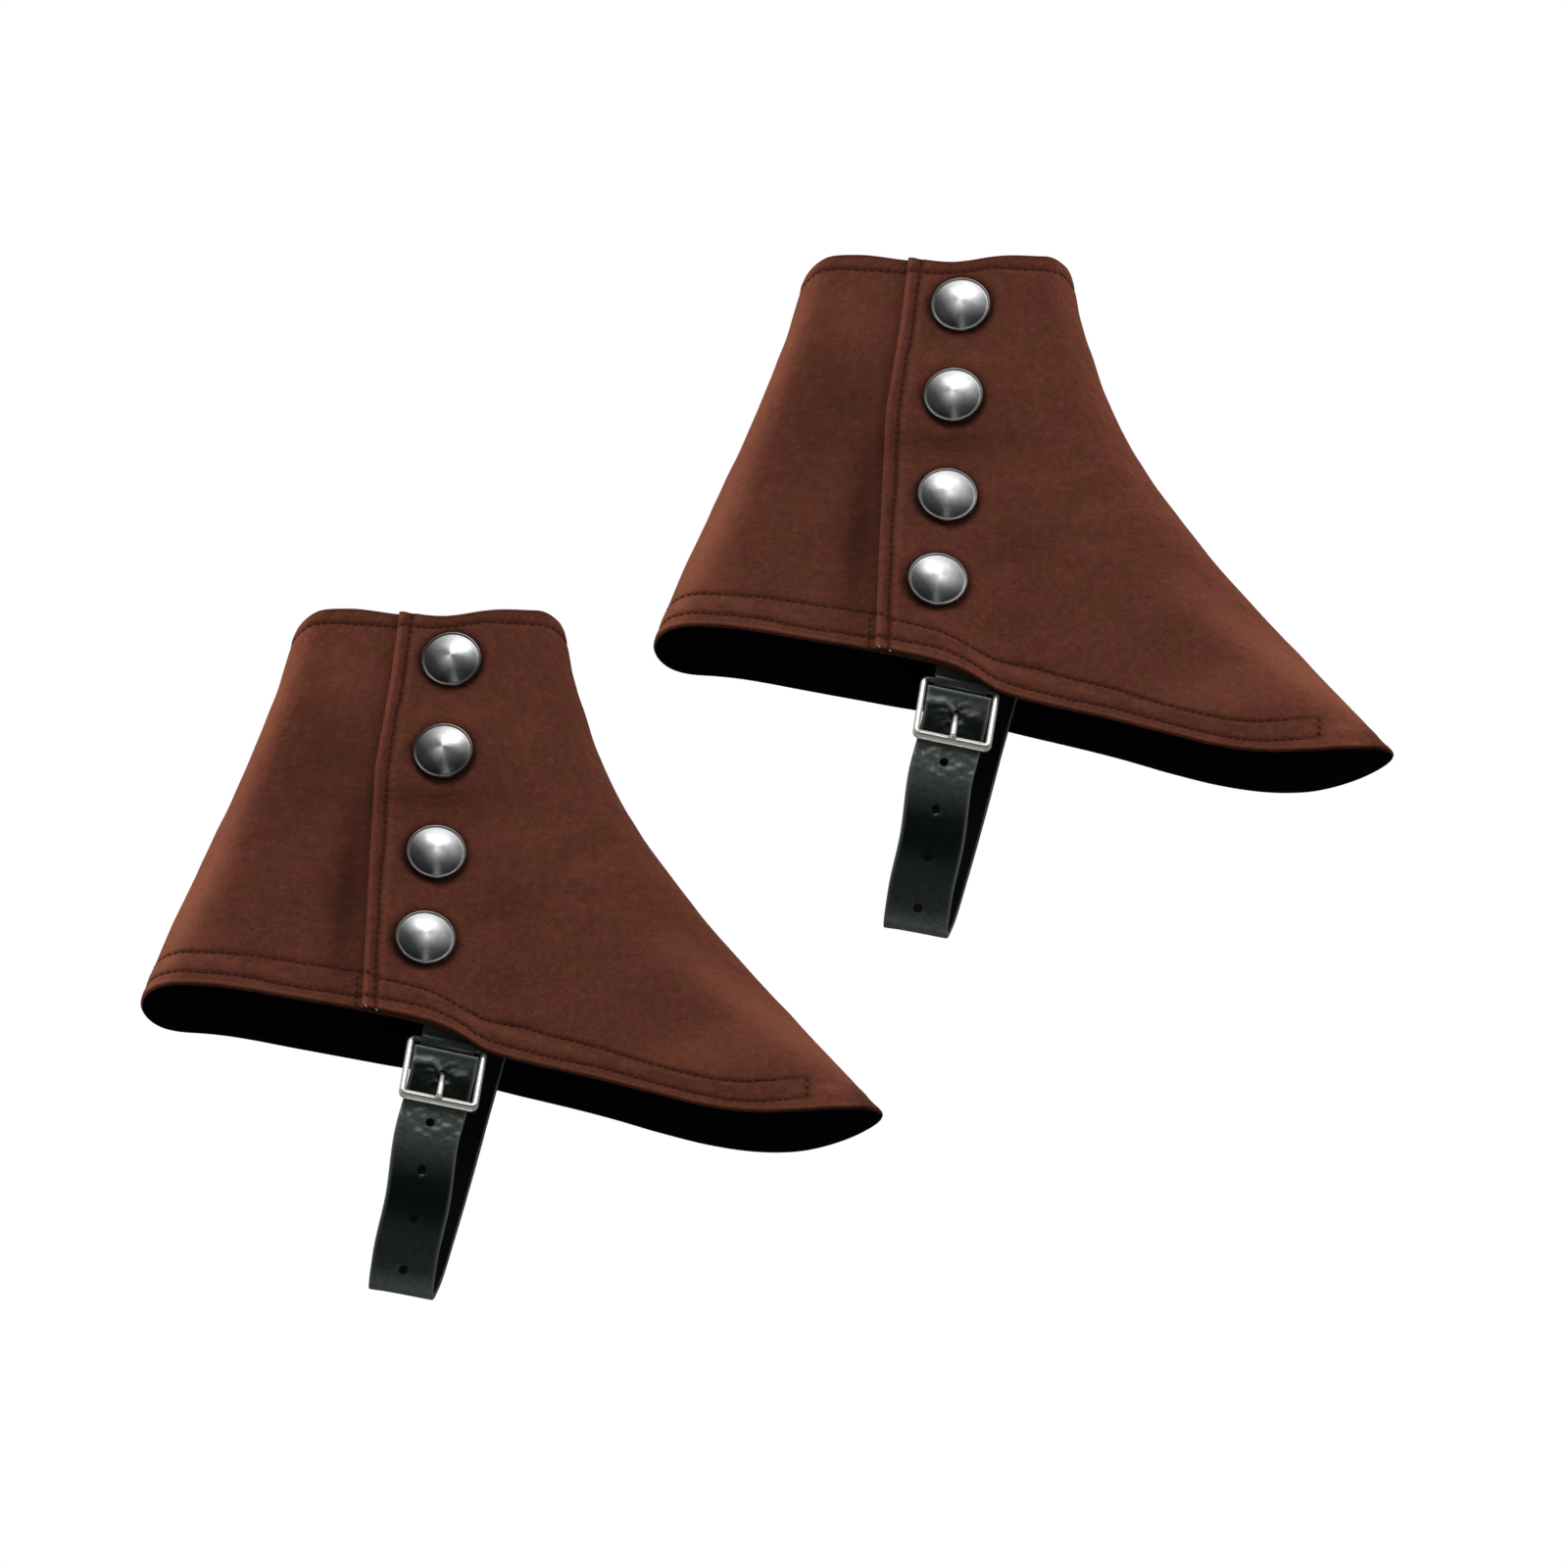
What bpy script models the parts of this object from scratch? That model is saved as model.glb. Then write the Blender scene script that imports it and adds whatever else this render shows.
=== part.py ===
"""A pair of felt boot covers, filled out and empty, each with four buttons and a buckled strap.

The toe points to +X, the outer side with the buttons faces -Y, and +Z is up. The origin is the
centre of the first cover's ankle opening. Sizes are millimetres and become metres in make_object.
"""
import math

import bpy
import bmesh
import numpy as np
from mathutils import Vector

MM = 0.001

# Where the two covers are: offsets of their ankle openings
COVERS = {
    "cover1": (0.0, 0.0, 0.0),
    "cover2": (-191.1, 0.0, -143.0),
}

# Cloth
WALL = 2.0              # thickness of the felt
SEAM_GAP = 0.3          # between two pieces that meet at a seam or lie on each other
UNDERLAP = 34.0         # how far the back panel runs on below the front panel
STEP_BLEND = 16.0       # length over which the front panel comes back down past the underlap

# Side view of the cover in its centre plane, each outline from one end to the other
BACK_LINE = [           # x, z down the centre-back seam
    (-50.0, -0.5),
    (-57.0, -25.5),
    (-71.8, -66.0),
    (-88.8, -106.4),
    (-103.4, -142.9),
    (-106.5, -152.2),
]
FRONT_LINE = [          # x, z down the centre-front seam to the toe
    (51.2, -0.5),
    (57.4, -29.5),
    (72.4, -71.1),
    (97.0, -113.1),
    (129.2, -155.3),
    (155.9, -187.8),
    (171.2, -206.0),
]
TOP_EDGE = [            # x, z, half width of the opening, from back to front
    (-50.0, -0.5, 18.0),
    (-40.0, 3.0, 18.0),
    (-27.0, 3.4, 18.0),
    (-10.0, 0.4, 18.2),
    (8.0, -2.3, 18.4),
    (24.0, -0.3, 18.2),
    (38.0, 0.4, 18.0),
    (51.2, -0.5, 18.0),
]
HEM_EDGE = [            # x, z, half width of the opening, from heel to toe
    (-106.5, -152.2, 20.6),
    (-78.5, -154.4, 21.4),
    (-48.4, -160.9, 22.2),
    (-18.7, -167.8, 22.4),
    (4.0, -173.8, 21.4),
    (27.5, -183.8, 16.6),
    (47.7, -190.2, 15.8),
    (67.8, -196.4, 16.6),
    (86.9, -202.7, 17.4),
    (105.6, -208.5, 17.5),
    (122.1, -211.6, 17.6),
    (139.7, -211.9, 17.9),
    (153.6, -209.8, 17.8),
    (171.2, -206.0, 16.8),
]
# Rounding of each horizontal section towards its two seams: length, and power of the curve
BACK_ROUNDING = {"top": (14.0, 2.0), "hem": (20.0, 2.7)}
FRONT_ROUNDING = {"top": (9.0, 2.0), "hem": (45.0, 2.3)}

# Soft troughs and ridges of the worn cloth, on the outer (-1) and inner (+1) side. Columns: side,
# x, z of the middle, half length, half width, depth inwards, lean of its length from the vertical
CREASES = [
    (-1, -42.0, -62.0, 34.0, 15.0, 1.6, 24.0),
    (-1, -31.0, -118.0, 26.0, 9.0, 1.3, 8.0),
    (-1, 34.0, -88.0, 26.0, 10.0, 1.0, 78.0),
    (-1, 88.0, -138.0, 30.0, 13.0, 1.3, 52.0),
    (-1, -70.0, -112.0, 24.0, 12.0, -0.9, 30.0),
    (1, -36.0, -56.0, 30.0, 14.0, 1.5, 30.0),
    (1, 12.0, -104.0, 32.0, 11.0, 1.4, 84.0),
    (1, 74.0, -128.0, 34.0, 13.0, 1.3, 46.0),
    (1, -60.0, -124.0, 26.0, 12.0, -1.0, 22.0),
]

# Closure
CLOSURE_EDGE = [        # x, z of its edge in the side view, from top to hem
    (-9.0, -1.4),
    (-12.3, -30.6),
    (-17.4, -65.0),
    (-19.5, -115.0),
    (-21.6, -168.0),
]
BUTTON_PLACES = [(10.8, -21.3), (7.9, -59.6), (5.2, -102.0), (1.5, -138.4)]     # x, z
BUTTON_RADIUS = 11.2
BUTTON_HEIGHT = 4.6
BUTTON_RIM = 0.7

# Grid of the cloth: rows from top to hem, and columns in each stretch of a side
ROWS = 14
BACK_COLUMNS = 10
UNDERLAP_COLUMNS = 5
FRONT_COLUMNS = 13
END_CROWDING = 0.45     # how much closer the columns are at a seam than in the middle

# Strap, tab and buckle. The buckle's top bar hangs below the hem of the outer side
BAR_PLACE = (10.8, -179.3)      # x, z of the middle of the top bar
TAB_CLEARANCE = 0.4             # from the cloth to the tab, at their closest
STRAP_TILT = math.radians(9.0)  # lean of the strap, its foot towards the heel
STRAP_WIDTH = 24.2
STRAP_THICK = 1.8
TAB_WIDTH = 20.4
TAB_THICK = 1.5
TAB_RISE = 17.0                 # height of the tab above the bar
TAB_SLOT = 3.0                  # width of the slot for the prong
BAR_RADIUS = 1.2
BOTTOM_BAR_HALF = 1.9           # half height of the buckle's bottom bar, which is flat
BOTTOM_BAR_OUT = 3.2            # how far the bottom bar stands out from the top bar
WIRE_GAP = 0.3
FRAME_WIDTH = 27.6              # between the centre lines of the side bars
FRAME_LENGTH = 25.2             # between the centre lines of the end bars
FRAME_CORNER = 2.6
PRONG_RADIUS = 0.9
PRONG_HOLE = 14.6               # distance of the hole in use below the top bar
HOLE_PITCH = 19.2
HOLE_COUNT = 5
HOLE_RADIUS = 1.6
USED_HOLE = (2.8, 1.5)          # half length and half width of the hole that the prong stretches
STRAP_TIP = BAR_RADIUS + WIRE_GAP + TAB_THICK + 0.5     # distance of the strap's end below the bar
STRAP_FRONT = 2.3               # from the bar's centre plane out to the strap's face, at its tip
STRAP_LOOP = [                  # x, y, z of the strap's outward face under the foot
    (-1.0, -14.6, -243.0),
    (-6.0, -9.2, -263.5),
    (-8.2, -0.8, -274.2),
    (-6.4, 7.4, -266.0),
    (-0.8, 12.0, -244.0),
    (5.8, 14.2, -218.0),
]
SEWN_PLACES = [(12.6, -190.0), (16.8, -174.0), (20.2, -161.0)]      # x, z inside the inner side

LEATHER = ("black_leather", (0.012, 0.016, 0.014), 0.28, 0.0)
FELT = ("brown_felt", (0.098, 0.030, 0.018), 0.95, 0.0)
DOME_METAL = ("antique_silver", (0.55, 0.55, 0.56), 0.28, 1.0)
NICKEL = ("nickel", (0.72, 0.71, 0.67), 0.22, 1.0)


def clear_scene():
    for item in list(bpy.data.objects):
        bpy.data.objects.remove(item, do_unlink=True)


def through(points, fractions):
    """Read a smooth curve through the points at fractions of its chord length."""
    points = np.asarray(points, float)
    chords = np.linalg.norm(np.diff(points, axis=0), axis=1)
    knots = np.concatenate([[0.0], np.cumsum(chords)])
    knots /= knots[-1]
    slopes = np.gradient(points, knots, axis=0)
    place = np.clip(np.asarray(fractions, float), 0.0, 1.0)
    left = np.clip(np.searchsorted(knots, place, side="right") - 1, 0, len(knots) - 2)
    span = knots[left + 1] - knots[left]
    t = (place - knots[left]) / span
    t, span = t[..., None], span[..., None]
    return ((2 * t**3 - 3 * t**2 + 1) * points[left]
            + (t**3 - 2 * t**2 + t) * span * slopes[left]
            + (3 * t**2 - 2 * t**3) * points[left + 1]
            + (t**3 - t**2) * span * slopes[left + 1])


def smoothstep(value):
    value = np.clip(value, 0.0, 1.0)
    return value * value * (3.0 - 2.0 * value)


def unit(vector):
    vector = np.asarray(vector, float)
    return vector / np.linalg.norm(vector, axis=-1, keepdims=True)


def side_view(u, v):
    """Point (x, z) of the cloth at u from back to front and v from top to hem."""
    top, hem = through(TOP_EDGE, u)[..., [0, 1]], through(HEM_EDGE, u)[..., [0, 1]]
    back, front = through(BACK_LINE, v), through(FRONT_LINE, v)
    u, v = np.asarray(u, float)[..., None], np.asarray(v, float)[..., None]
    corners = ((1 - u) * (1 - v) * TOP_EDGE[0][:2] + u * (1 - v) * TOP_EDGE[-1][:2]
               + (1 - u) * v * HEM_EDGE[0][:2] + u * v * HEM_EDGE[-1][:2])
    return (1 - v) * top + v * hem + (1 - u) * back + u * front - corners


def rounding(distance, ends, v):
    """Share of the full half width at a distance from a seam."""
    (top_length, top_power), (hem_length, hem_power) = ends["top"], ends["hem"]
    length = top_length + (hem_length - top_length) * v
    power = top_power + (hem_power - top_power) * v
    left = np.clip(1.0 - distance / length, 0.0, 1.0)
    return np.sqrt(1.0 - left**power)


def crease_depth(side, x, z):
    depth = np.zeros_like(x)
    for crease_side, middle_x, middle_z, half_length, half_width, deep, lean in CREASES:
        if crease_side != side:
            continue
        angle = math.radians(lean)
        along = (x - middle_x) * math.sin(angle) + (z - middle_z) * math.cos(angle)
        across = (x - middle_x) * math.cos(angle) - (z - middle_z) * math.sin(angle)
        depth += deep * np.exp(-(along / half_length)**2 - (across / half_width)**2)
    return depth


def section(side, v, samples=400):
    """Points of one section on one side, from the back seam to the front seam."""
    u = 0.5 - 0.5 * np.cos(np.linspace(0.0, math.pi, samples))
    flat = side_view(u, np.full(samples, v))
    steps = np.linalg.norm(np.diff(flat, axis=0), axis=1)
    reach = np.concatenate([[0.0], np.cumsum(steps)])
    width = (1 - v) * through(TOP_EDGE, u)[:, 2] + v * through(HEM_EDGE, u)[:, 2]
    ends = rounding(reach, BACK_ROUNDING, v) * rounding(reach[-1] - reach, FRONT_ROUNDING, v)
    width = (width - crease_depth(side, flat[:, 0], flat[:, 1])) * ends
    return np.column_stack([flat[:, 0], side * width, flat[:, 1]])


def closure_x(z):
    upwards = np.array(CLOSURE_EDGE[::-1])
    return np.interp(z, upwards[:, 1], upwards[:, 0])


def columns_of(points):
    """Arc lengths of the columns along a section: back, underlap and front stretches."""
    steps = np.linalg.norm(np.diff(points, axis=0), axis=1)
    reach = np.concatenate([[0.0], np.cumsum(steps)])
    ahead = points[:, 0] - closure_x(points[:, 2])
    closure = np.interp(0.0, ahead, reach)
    share = np.linspace(0.0, 1.0, BACK_COLUMNS + 1)
    back = closure * ((1 - END_CROWDING) * share + END_CROWDING * share**2)
    under = closure + UNDERLAP * np.linspace(0.0, 1.0, UNDERLAP_COLUMNS + 1)
    share = np.linspace(0.0, 1.0, FRONT_COLUMNS + 1)
    share = (1 + END_CROWDING) * share - END_CROWDING * share**2
    front = under[-1] + (reach[-1] - under[-1]) * share
    return np.concatenate([back[:-1], under[:-1], front]), reach


def side_grid(side):
    """Grid of points on the cloth's outer face, rows from top to hem, back seam to front seam."""
    rows = []
    for v in np.linspace(0.0, 1.0, ROWS + 1):
        points = section(side, v)
        columns, reach = columns_of(points)
        row = np.column_stack([np.interp(columns, reach, points[:, axis]) for axis in range(3)])
        row[:, 1] = side * np.maximum(side * row[:, 1], SEAM_GAP / 2)
        rows.append(row)
    return np.array(rows)


def grid_normals(grid, side):
    """Outward normals, level across the two centre seams."""
    down = np.gradient(grid, axis=0)
    along = np.gradient(grid, axis=1)
    normals = unit(np.cross(along, down) * side)
    for end in (0, -1):
        normals[:, end, 1] = 0.0
    return unit(normals)


def wall_solid(grid, normals, lift, inner_lift):
    """Closed wall between two lifted copies of a grid of points."""
    outer = grid + normals * lift[..., None]
    inner = grid + normals * inner_lift[..., None]
    rows, columns = grid.shape[:2]
    vertices = np.concatenate([outer.reshape(-1, 3), inner.reshape(-1, 3)])
    offset = rows * columns
    faces = []
    for r in range(rows - 1):
        for c in range(columns - 1):
            a = r * columns + c
            quad = (a, a + columns, a + columns + 1, a + 1)
            faces.append(quad)
            faces.append(tuple(offset + i for i in reversed(quad)))
    rim = ([c for c in range(columns)]
           + [r * columns + columns - 1 for r in range(1, rows)]
           + [(rows - 1) * columns + c for c in range(columns - 2, -1, -1)]
           + [r * columns for r in range(rows - 2, 0, -1)])
    for here, after in zip(rim, rim[1:] + rim[:1]):
        faces.append((here, after, after + offset, here + offset))
    return vertices, faces


def panel_front(grid, normals):
    """Front quarter: lies on the underlap, then comes down to the common face."""
    first = BACK_COLUMNS
    grid, normals = grid[:, first:], normals[:, first:]
    steps = np.linalg.norm(np.diff(grid, axis=1), axis=2)
    ahead = np.concatenate([np.zeros((len(grid), 1)), np.cumsum(steps, axis=1)], axis=1)
    raised = (WALL + SEAM_GAP) * (1.0 - smoothstep((ahead - UNDERLAP - 0.5) / STEP_BLEND))
    return wall_solid(grid, normals, raised, raised - WALL)


def panel_back(grid, normals):
    """Back quarter with its underlap."""
    last = BACK_COLUMNS + UNDERLAP_COLUMNS + 1
    grid, normals = grid[:, :last], normals[:, :last]
    flat = np.zeros(grid.shape[:2])
    return wall_solid(grid, normals, flat, flat - WALL)


def panel_inner(grid, normals):
    flat = np.zeros(grid.shape[:2])
    return wall_solid(grid, normals, flat, flat - WALL)


def outer_face_at(grid, normals, x, z):
    """Point and normal of a side's outer face over the place (x, z) of the side view."""
    spread = (grid[..., 0] - x)**2 + (grid[..., 2] - z)**2
    weight = 1.0 / (spread + 1e-6)
    near = np.argsort(spread, axis=None)[:4]
    rows, columns = np.unravel_index(near, spread.shape)
    share = weight[rows, columns] / weight[rows, columns].sum()
    normal = unit((normals[rows, columns] * share[:, None]).sum(axis=0))
    middle = (grid[rows, columns] * share[:, None]).sum(axis=0)
    depth = middle[1] - (normal[0] * (x - middle[0]) + normal[2] * (z - middle[2])) / normal[1]
    return np.array([x, depth, z]), normal


def button_seat(grid, normals, x, z):
    """Point just clear of the front panel below the whole back of a button, and its direction."""
    point, normal = outer_face_at(grid, normals, x, z)
    proud = [0.0]
    for turn in range(8):
        angle = math.pi * turn / 4
        beside, _ = outer_face_at(grid, normals, x + BUTTON_RADIUS * math.cos(angle),
                                  z + BUTTON_RADIUS * math.sin(angle))
        proud.append((beside - point) @ normal)
    return point + normal * (max(proud) + WALL + 2 * SEAM_GAP), normal


def button_solid(segments=20, rings=4):
    """Low dome with a flat back, its axis on +Z."""
    rise = BUTTON_HEIGHT - BUTTON_RIM
    sphere = (BUTTON_RADIUS**2 + rise**2) / (2 * rise)
    widest = math.asin(BUTTON_RADIUS / sphere)
    profile = [(BUTTON_RADIUS, 0.0)]
    for ring in range(rings):
        angle = widest * (1 - ring / rings)
        profile.append((sphere * math.sin(angle),
                        BUTTON_RIM + sphere * math.cos(angle) - (sphere - rise)))
    vertices, faces = [], []
    for radius, height in profile:
        for turn in range(segments):
            angle = 2 * math.pi * turn / segments
            vertices.append((radius * math.cos(angle), radius * math.sin(angle), height))
    for level in range(len(profile) - 1):
        for turn in range(segments):
            after = (turn + 1) % segments
            a, b = level * segments + turn, level * segments + after
            faces.append((a, b, b + segments, a + segments))
    vertices.append((0.0, 0.0, BUTTON_HEIGHT))
    last = (len(profile) - 1) * segments
    for turn in range(segments):
        faces.append((last + turn, last + (turn + 1) % segments, len(vertices) - 1))
    faces.append(tuple(reversed(range(segments))))
    return np.array(vertices), faces


def place_on(vertices, point, normal):
    """Stand a shape made along +Z on a point, its +X kept level."""
    across = unit(np.cross([0.0, 0.0, 1.0], normal))
    upward = np.cross(normal, across)
    return point + vertices @ np.array([across, upward, normal])


def tube(path, radius, closed=False, sides=8, in_plane=None):
    """Wire along a flat path, round unless in_plane gives each point's radius in that plane."""
    path = np.asarray(path, float)
    count = len(path)
    wide = np.full(count, radius) if in_plane is None else in_plane
    if closed:
        ahead = unit(np.roll(path, -1, axis=0) - np.roll(path, 1, axis=0))
    else:
        ahead = unit(np.gradient(path, axis=0))
    bend = np.cross(ahead[0], path[count // 3] - path[0])
    straight = np.linalg.norm(bend) < 1e-6
    plane = unit(np.cross(ahead[0], [1.0, 0.0, 0.0]) if straight else bend)
    vertices, faces = [], []
    for point, way, half in zip(path, ahead, wide):
        first = unit(plane - way * (plane @ way))
        second = np.cross(way, first)
        for turn in range(sides):
            angle = 2 * math.pi * (turn + 0.5) / sides
            vertices.append(point + radius * math.cos(angle) * first
                            + half * math.sin(angle) * second)
    for ring in range(count if closed else count - 1):
        after = (ring + 1) % count
        for turn in range(sides):
            turn_on = (turn + 1) % sides
            faces.append((ring * sides + turn, ring * sides + turn_on,
                          after * sides + turn_on, after * sides + turn))
    if not closed:
        faces.append(tuple(reversed(range(sides))))
        faces.append(tuple(range((count - 1) * sides, count * sides)))
    return np.array(vertices), faces


class BuckleFrame:
    """Directions at the buckle: width to the toe, outwards, and down the strap."""

    def __init__(self, grid, normals):
        x, z = BAR_PLACE
        face, normal = outer_face_at(grid, normals, x, z + TAB_RISE)
        yaw = math.atan2(normal[0], -normal[1])
        self.width = np.array([math.cos(yaw) * math.cos(STRAP_TILT),
                               math.sin(yaw) * math.cos(STRAP_TILT), -math.sin(STRAP_TILT)])
        self.out = np.array([math.sin(yaw), -math.cos(yaw), 0.0])
        self.down = np.cross(self.width, self.out)
        self.bar = np.array([x, face[1], z])
        room = []
        for across in (-TAB_WIDTH / 2, 0.0, TAB_WIDTH / 2):
            for down in (-TAB_RISE, -TAB_RISE / 2, 0.0):
                place = self.at(across, 0.0, down)
                face, normal = outer_face_at(grid, normals, place[0], place[2])
                room.append((face - normal * WALL - self.bar) @ self.out)
        self.bar += self.out * (min(room) - TAB_CLEARANCE - TAB_THICK - SEAM_GAP / 2)

    def at(self, across, outwards, down):
        return self.bar + self.width * across + self.out * outwards + self.down * down


def arc(centre, radius, start, end, steps):
    """Points (outwards, down) on an arc; angle 0 is outwards and 90 degrees is up."""
    angles = np.radians(np.linspace(start, end, steps + 1))
    return [(centre[0] + radius * math.cos(a), centre[1] - radius * math.sin(a)) for a in angles]


def ribbon_from_outline(frame, outline, width):
    """Solid of a closed outline (outwards, down) carried across the strap's width."""
    count = len(outline)
    vertices = [frame.at(side * width / 2, out, down) for side in (-1, 1) for out, down in outline]
    faces = [tuple(range(count)), tuple(reversed(range(count, 2 * count)))]
    for here in range(count):
        after = (here + 1) % count
        faces.append((here, here + count, after + count, after))
    return np.array(vertices), faces


def tab_solid(frame):
    """Two layers of leather, folded round the top bar."""
    inside = BAR_RADIUS + WIRE_GAP
    outside = inside + TAB_THICK
    slit = SEAM_GAP / 2
    open_in = math.degrees(math.acos(slit / inside))
    open_out = math.degrees(math.acos((slit + TAB_THICK) / outside))
    outer = ([(slit + TAB_THICK, -TAB_RISE)]
             + arc((0, 0), outside, open_out, -180 - open_out, 12)
             + [(-slit - TAB_THICK, -TAB_RISE)])
    inner = ([(-slit, -TAB_RISE)]
             + arc((0, 0), inside, -180 - open_in, open_in, 12)
             + [(slit, -TAB_RISE)])
    return ribbon_from_outline(frame, outer + inner, TAB_WIDTH)


def slot_cutter(frame):
    """Block that opens the fold of the tab for the prong."""
    reach = BAR_RADIUS + WIRE_GAP + TAB_THICK + 1.0
    outline = [(-reach, -reach), (reach, -reach), (reach, reach), (-reach, reach)]
    return ribbon_from_outline(frame, outline, TAB_SLOT)


def frame_path(frame, lean):
    """Centre line of the buckle, a rectangle with round corners, and its radius in its plane."""
    half, corner = FRAME_WIDTH / 2, FRAME_CORNER
    path, wide = [], []
    corners = ((half, 0.0, 90, 0), (half, FRAME_LENGTH, 0, -90),
               (-half, FRAME_LENGTH, -90, -180), (-half, 0.0, 180, 90))
    for across, down, start, end in corners:
        centre = (across - math.copysign(corner, across),
                  down + (corner if down == 0.0 else -corner))
        for point_across, point_down in arc(centre, corner, start, end, 3):
            path.append(frame.at(point_across, point_down * math.sin(lean),
                                 point_down * math.cos(lean)))
            share = smoothstep((point_down - FRAME_LENGTH + corner) / corner)
            wide.append(BAR_RADIUS + (BOTTOM_BAR_HALF - BAR_RADIUS) * share)
    return path, np.array(wide)


def prong_path(frame, bottom_bar):
    """Hook round the top bar, behind the strap, through its hole and up to the bottom bar."""
    hook = arc((0, 0), BAR_RADIUS + WIRE_GAP + PRONG_RADIUS, -40, 250, 11)
    rest = WIRE_GAP + PRONG_RADIUS
    tip = (bottom_bar[0] + (BAR_RADIUS + rest) * math.cos(math.radians(50)),
           bottom_bar[1] - (BOTTOM_BAR_HALF + rest) * math.sin(math.radians(50)))
    middle = STRAP_FRONT - STRAP_THICK / 2
    behind = STRAP_FRONT - STRAP_THICK - WIRE_GAP - PRONG_RADIUS
    run = [(behind - 0.1, 5.5), (behind, PRONG_HOLE - 3.2), (middle, PRONG_HOLE),
           (middle + 1.7, PRONG_HOLE + 2.6), tip]
    curve = through([hook[-2], hook[-1]] + run, np.linspace(0, 1, 15))
    outline = hook[:-2] + [tuple(point) for point in curve]
    return [frame.at(0.0, out, down) for out, down in outline]


def inside_point(grid, normals, x, z):
    """Point inside a side's wall that keeps the whole width of the strap clear of the cloth."""
    point, normal = outer_face_at(grid, normals, x, z)
    room = []
    for beside in (-STRAP_WIDTH / 2, 0.0, STRAP_WIDTH / 2):
        for above in (-4.0, 4.0):
            face, face_normal = outer_face_at(grid, normals, x + beside, z + above)
            room.append((face - face_normal * WALL - point) @ normal)
    return point + normal * (min(room) - TAB_CLEARANCE), normal


def strap_line(frame, far_grid, far_normals):
    """Centre line of the strap's outward face and its width direction, tip to sewn end."""
    near = [frame.at(0.0, STRAP_FRONT, STRAP_TIP),
            frame.at(-0.1, STRAP_FRONT, PRONG_HOLE),
            frame.at(-0.6, BOTTOM_BAR_OUT - BAR_RADIUS - WIRE_GAP, FRAME_LENGTH),
            frame.at(-1.6, 1.4, FRAME_LENGTH + 13.0)]
    sewn = [inside_point(far_grid, far_normals, x, z) for x, z in SEWN_PLACES]
    points = np.array([*near, *STRAP_LOOP, *(point for point, _ in sewn)])
    line = through(points, np.linspace(0.0, 1.0, 45))
    up_far = unit(sewn[-1][0] - sewn[0][0])
    far_width = unit(np.cross(sewn[1][1], up_far))
    share = smoothstep(np.linspace(-0.35, 1.35, len(line)))[:, None]
    ahead = unit(np.gradient(line, axis=0))
    width = frame.width * (1 - share) + far_width * share
    width = unit(width - ahead * (width * ahead).sum(axis=1)[:, None])
    return line, width, ahead


def strap_solid(line, width, ahead):
    """Flat leather ribbon below the line of its outward face."""
    inward = unit(np.cross(ahead, width))
    if inward[0] @ np.array([0.0, 1.0, 0.0]) < 0:
        inward = -inward
    half = width * STRAP_WIDTH / 2
    deep = inward * STRAP_THICK
    rings = np.stack([line - half, line + half, line + half + deep, line - half + deep], axis=1)
    vertices = rings.reshape(-1, 3)
    faces = [(0, 1, 2, 3)]
    for ring in range(len(line) - 1):
        for corner in range(4):
            a, b = ring * 4 + corner, ring * 4 + (corner + 1) % 4
            faces.append((a, a + 4, b + 4, b))
    last = (len(line) - 1) * 4
    faces.append((last + 3, last + 2, last + 1, last))
    return vertices, faces, inward


def pin(point, way, along, half_length, half_width, sides=12):
    """Prism through the strap at a point, oval where its two half sizes differ."""
    across = np.cross(way, along)
    vertices = []
    for depth in (-2.0, STRAP_THICK + 2.0):
        for turn in range(sides):
            angle = 2 * math.pi * turn / sides
            vertices.append(point + way * depth + along * half_length * math.cos(angle)
                            + across * half_width * math.sin(angle))
    faces = [tuple(range(sides)), tuple(reversed(range(sides, 2 * sides)))]
    for turn in range(sides):
        after = (turn + 1) % sides
        faces.append((turn, turn + sides, after + sides, after))
    return vertices, faces


def hole_cutters(line, inward):
    """Short pins along the strap, a pitch apart, that punch its holes."""
    steps = np.linalg.norm(np.diff(line, axis=0), axis=1)
    reach = np.concatenate([[0.0], np.cumsum(steps)])
    ahead = unit(np.gradient(line, axis=0))
    pins = []
    for number in range(HOLE_COUNT):
        place = PRONG_HOLE - STRAP_TIP + number * HOLE_PITCH
        point, way, along = (
            np.array([np.interp(place, reach, values[:, axis]) for axis in range(3)])
            for values in (line, inward, ahead))
        sizes = USED_HOLE if number == 0 else (HOLE_RADIUS, HOLE_RADIUS)
        pins.append(pin(point, unit(way), unit(along), *sizes))
    return pins


def make_mesh(name, vertices, faces):
    """Mesh in metres with its faces turned outwards."""
    mesh = bpy.data.meshes.new(name)
    mesh.from_pydata([tuple(vertex) for vertex in np.asarray(vertices) * MM], [], faces)
    work = bmesh.new()
    work.from_mesh(mesh)
    bmesh.ops.recalc_face_normals(work, faces=work.faces)
    work.to_mesh(mesh)
    work.free()
    return mesh


def make_material(name, colour, roughness, metallic):
    material = bpy.data.materials.new(name)
    material.use_nodes = True
    shader = material.node_tree.nodes["Principled BSDF"]
    shader.inputs["Base Color"].default_value = (*colour, 1.0)
    shader.inputs["Roughness"].default_value = roughness
    shader.inputs["Metallic"].default_value = metallic
    return material


def make_object(name, mesh, parent, finish, smooth_angle=None):
    """Object under a cover's empty, with a material of its own."""
    mesh.name = name
    piece = bpy.data.objects.new(name, mesh)
    bpy.context.scene.collection.objects.link(piece)
    piece.parent = parent
    mesh.materials.append(make_material(f"{name}_{finish[0]}", *finish[1:]))
    if smooth_angle is not None:
        mesh.shade_smooth()
        mesh.set_sharp_from_angle(angle=math.radians(smooth_angle))
    return piece


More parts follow.
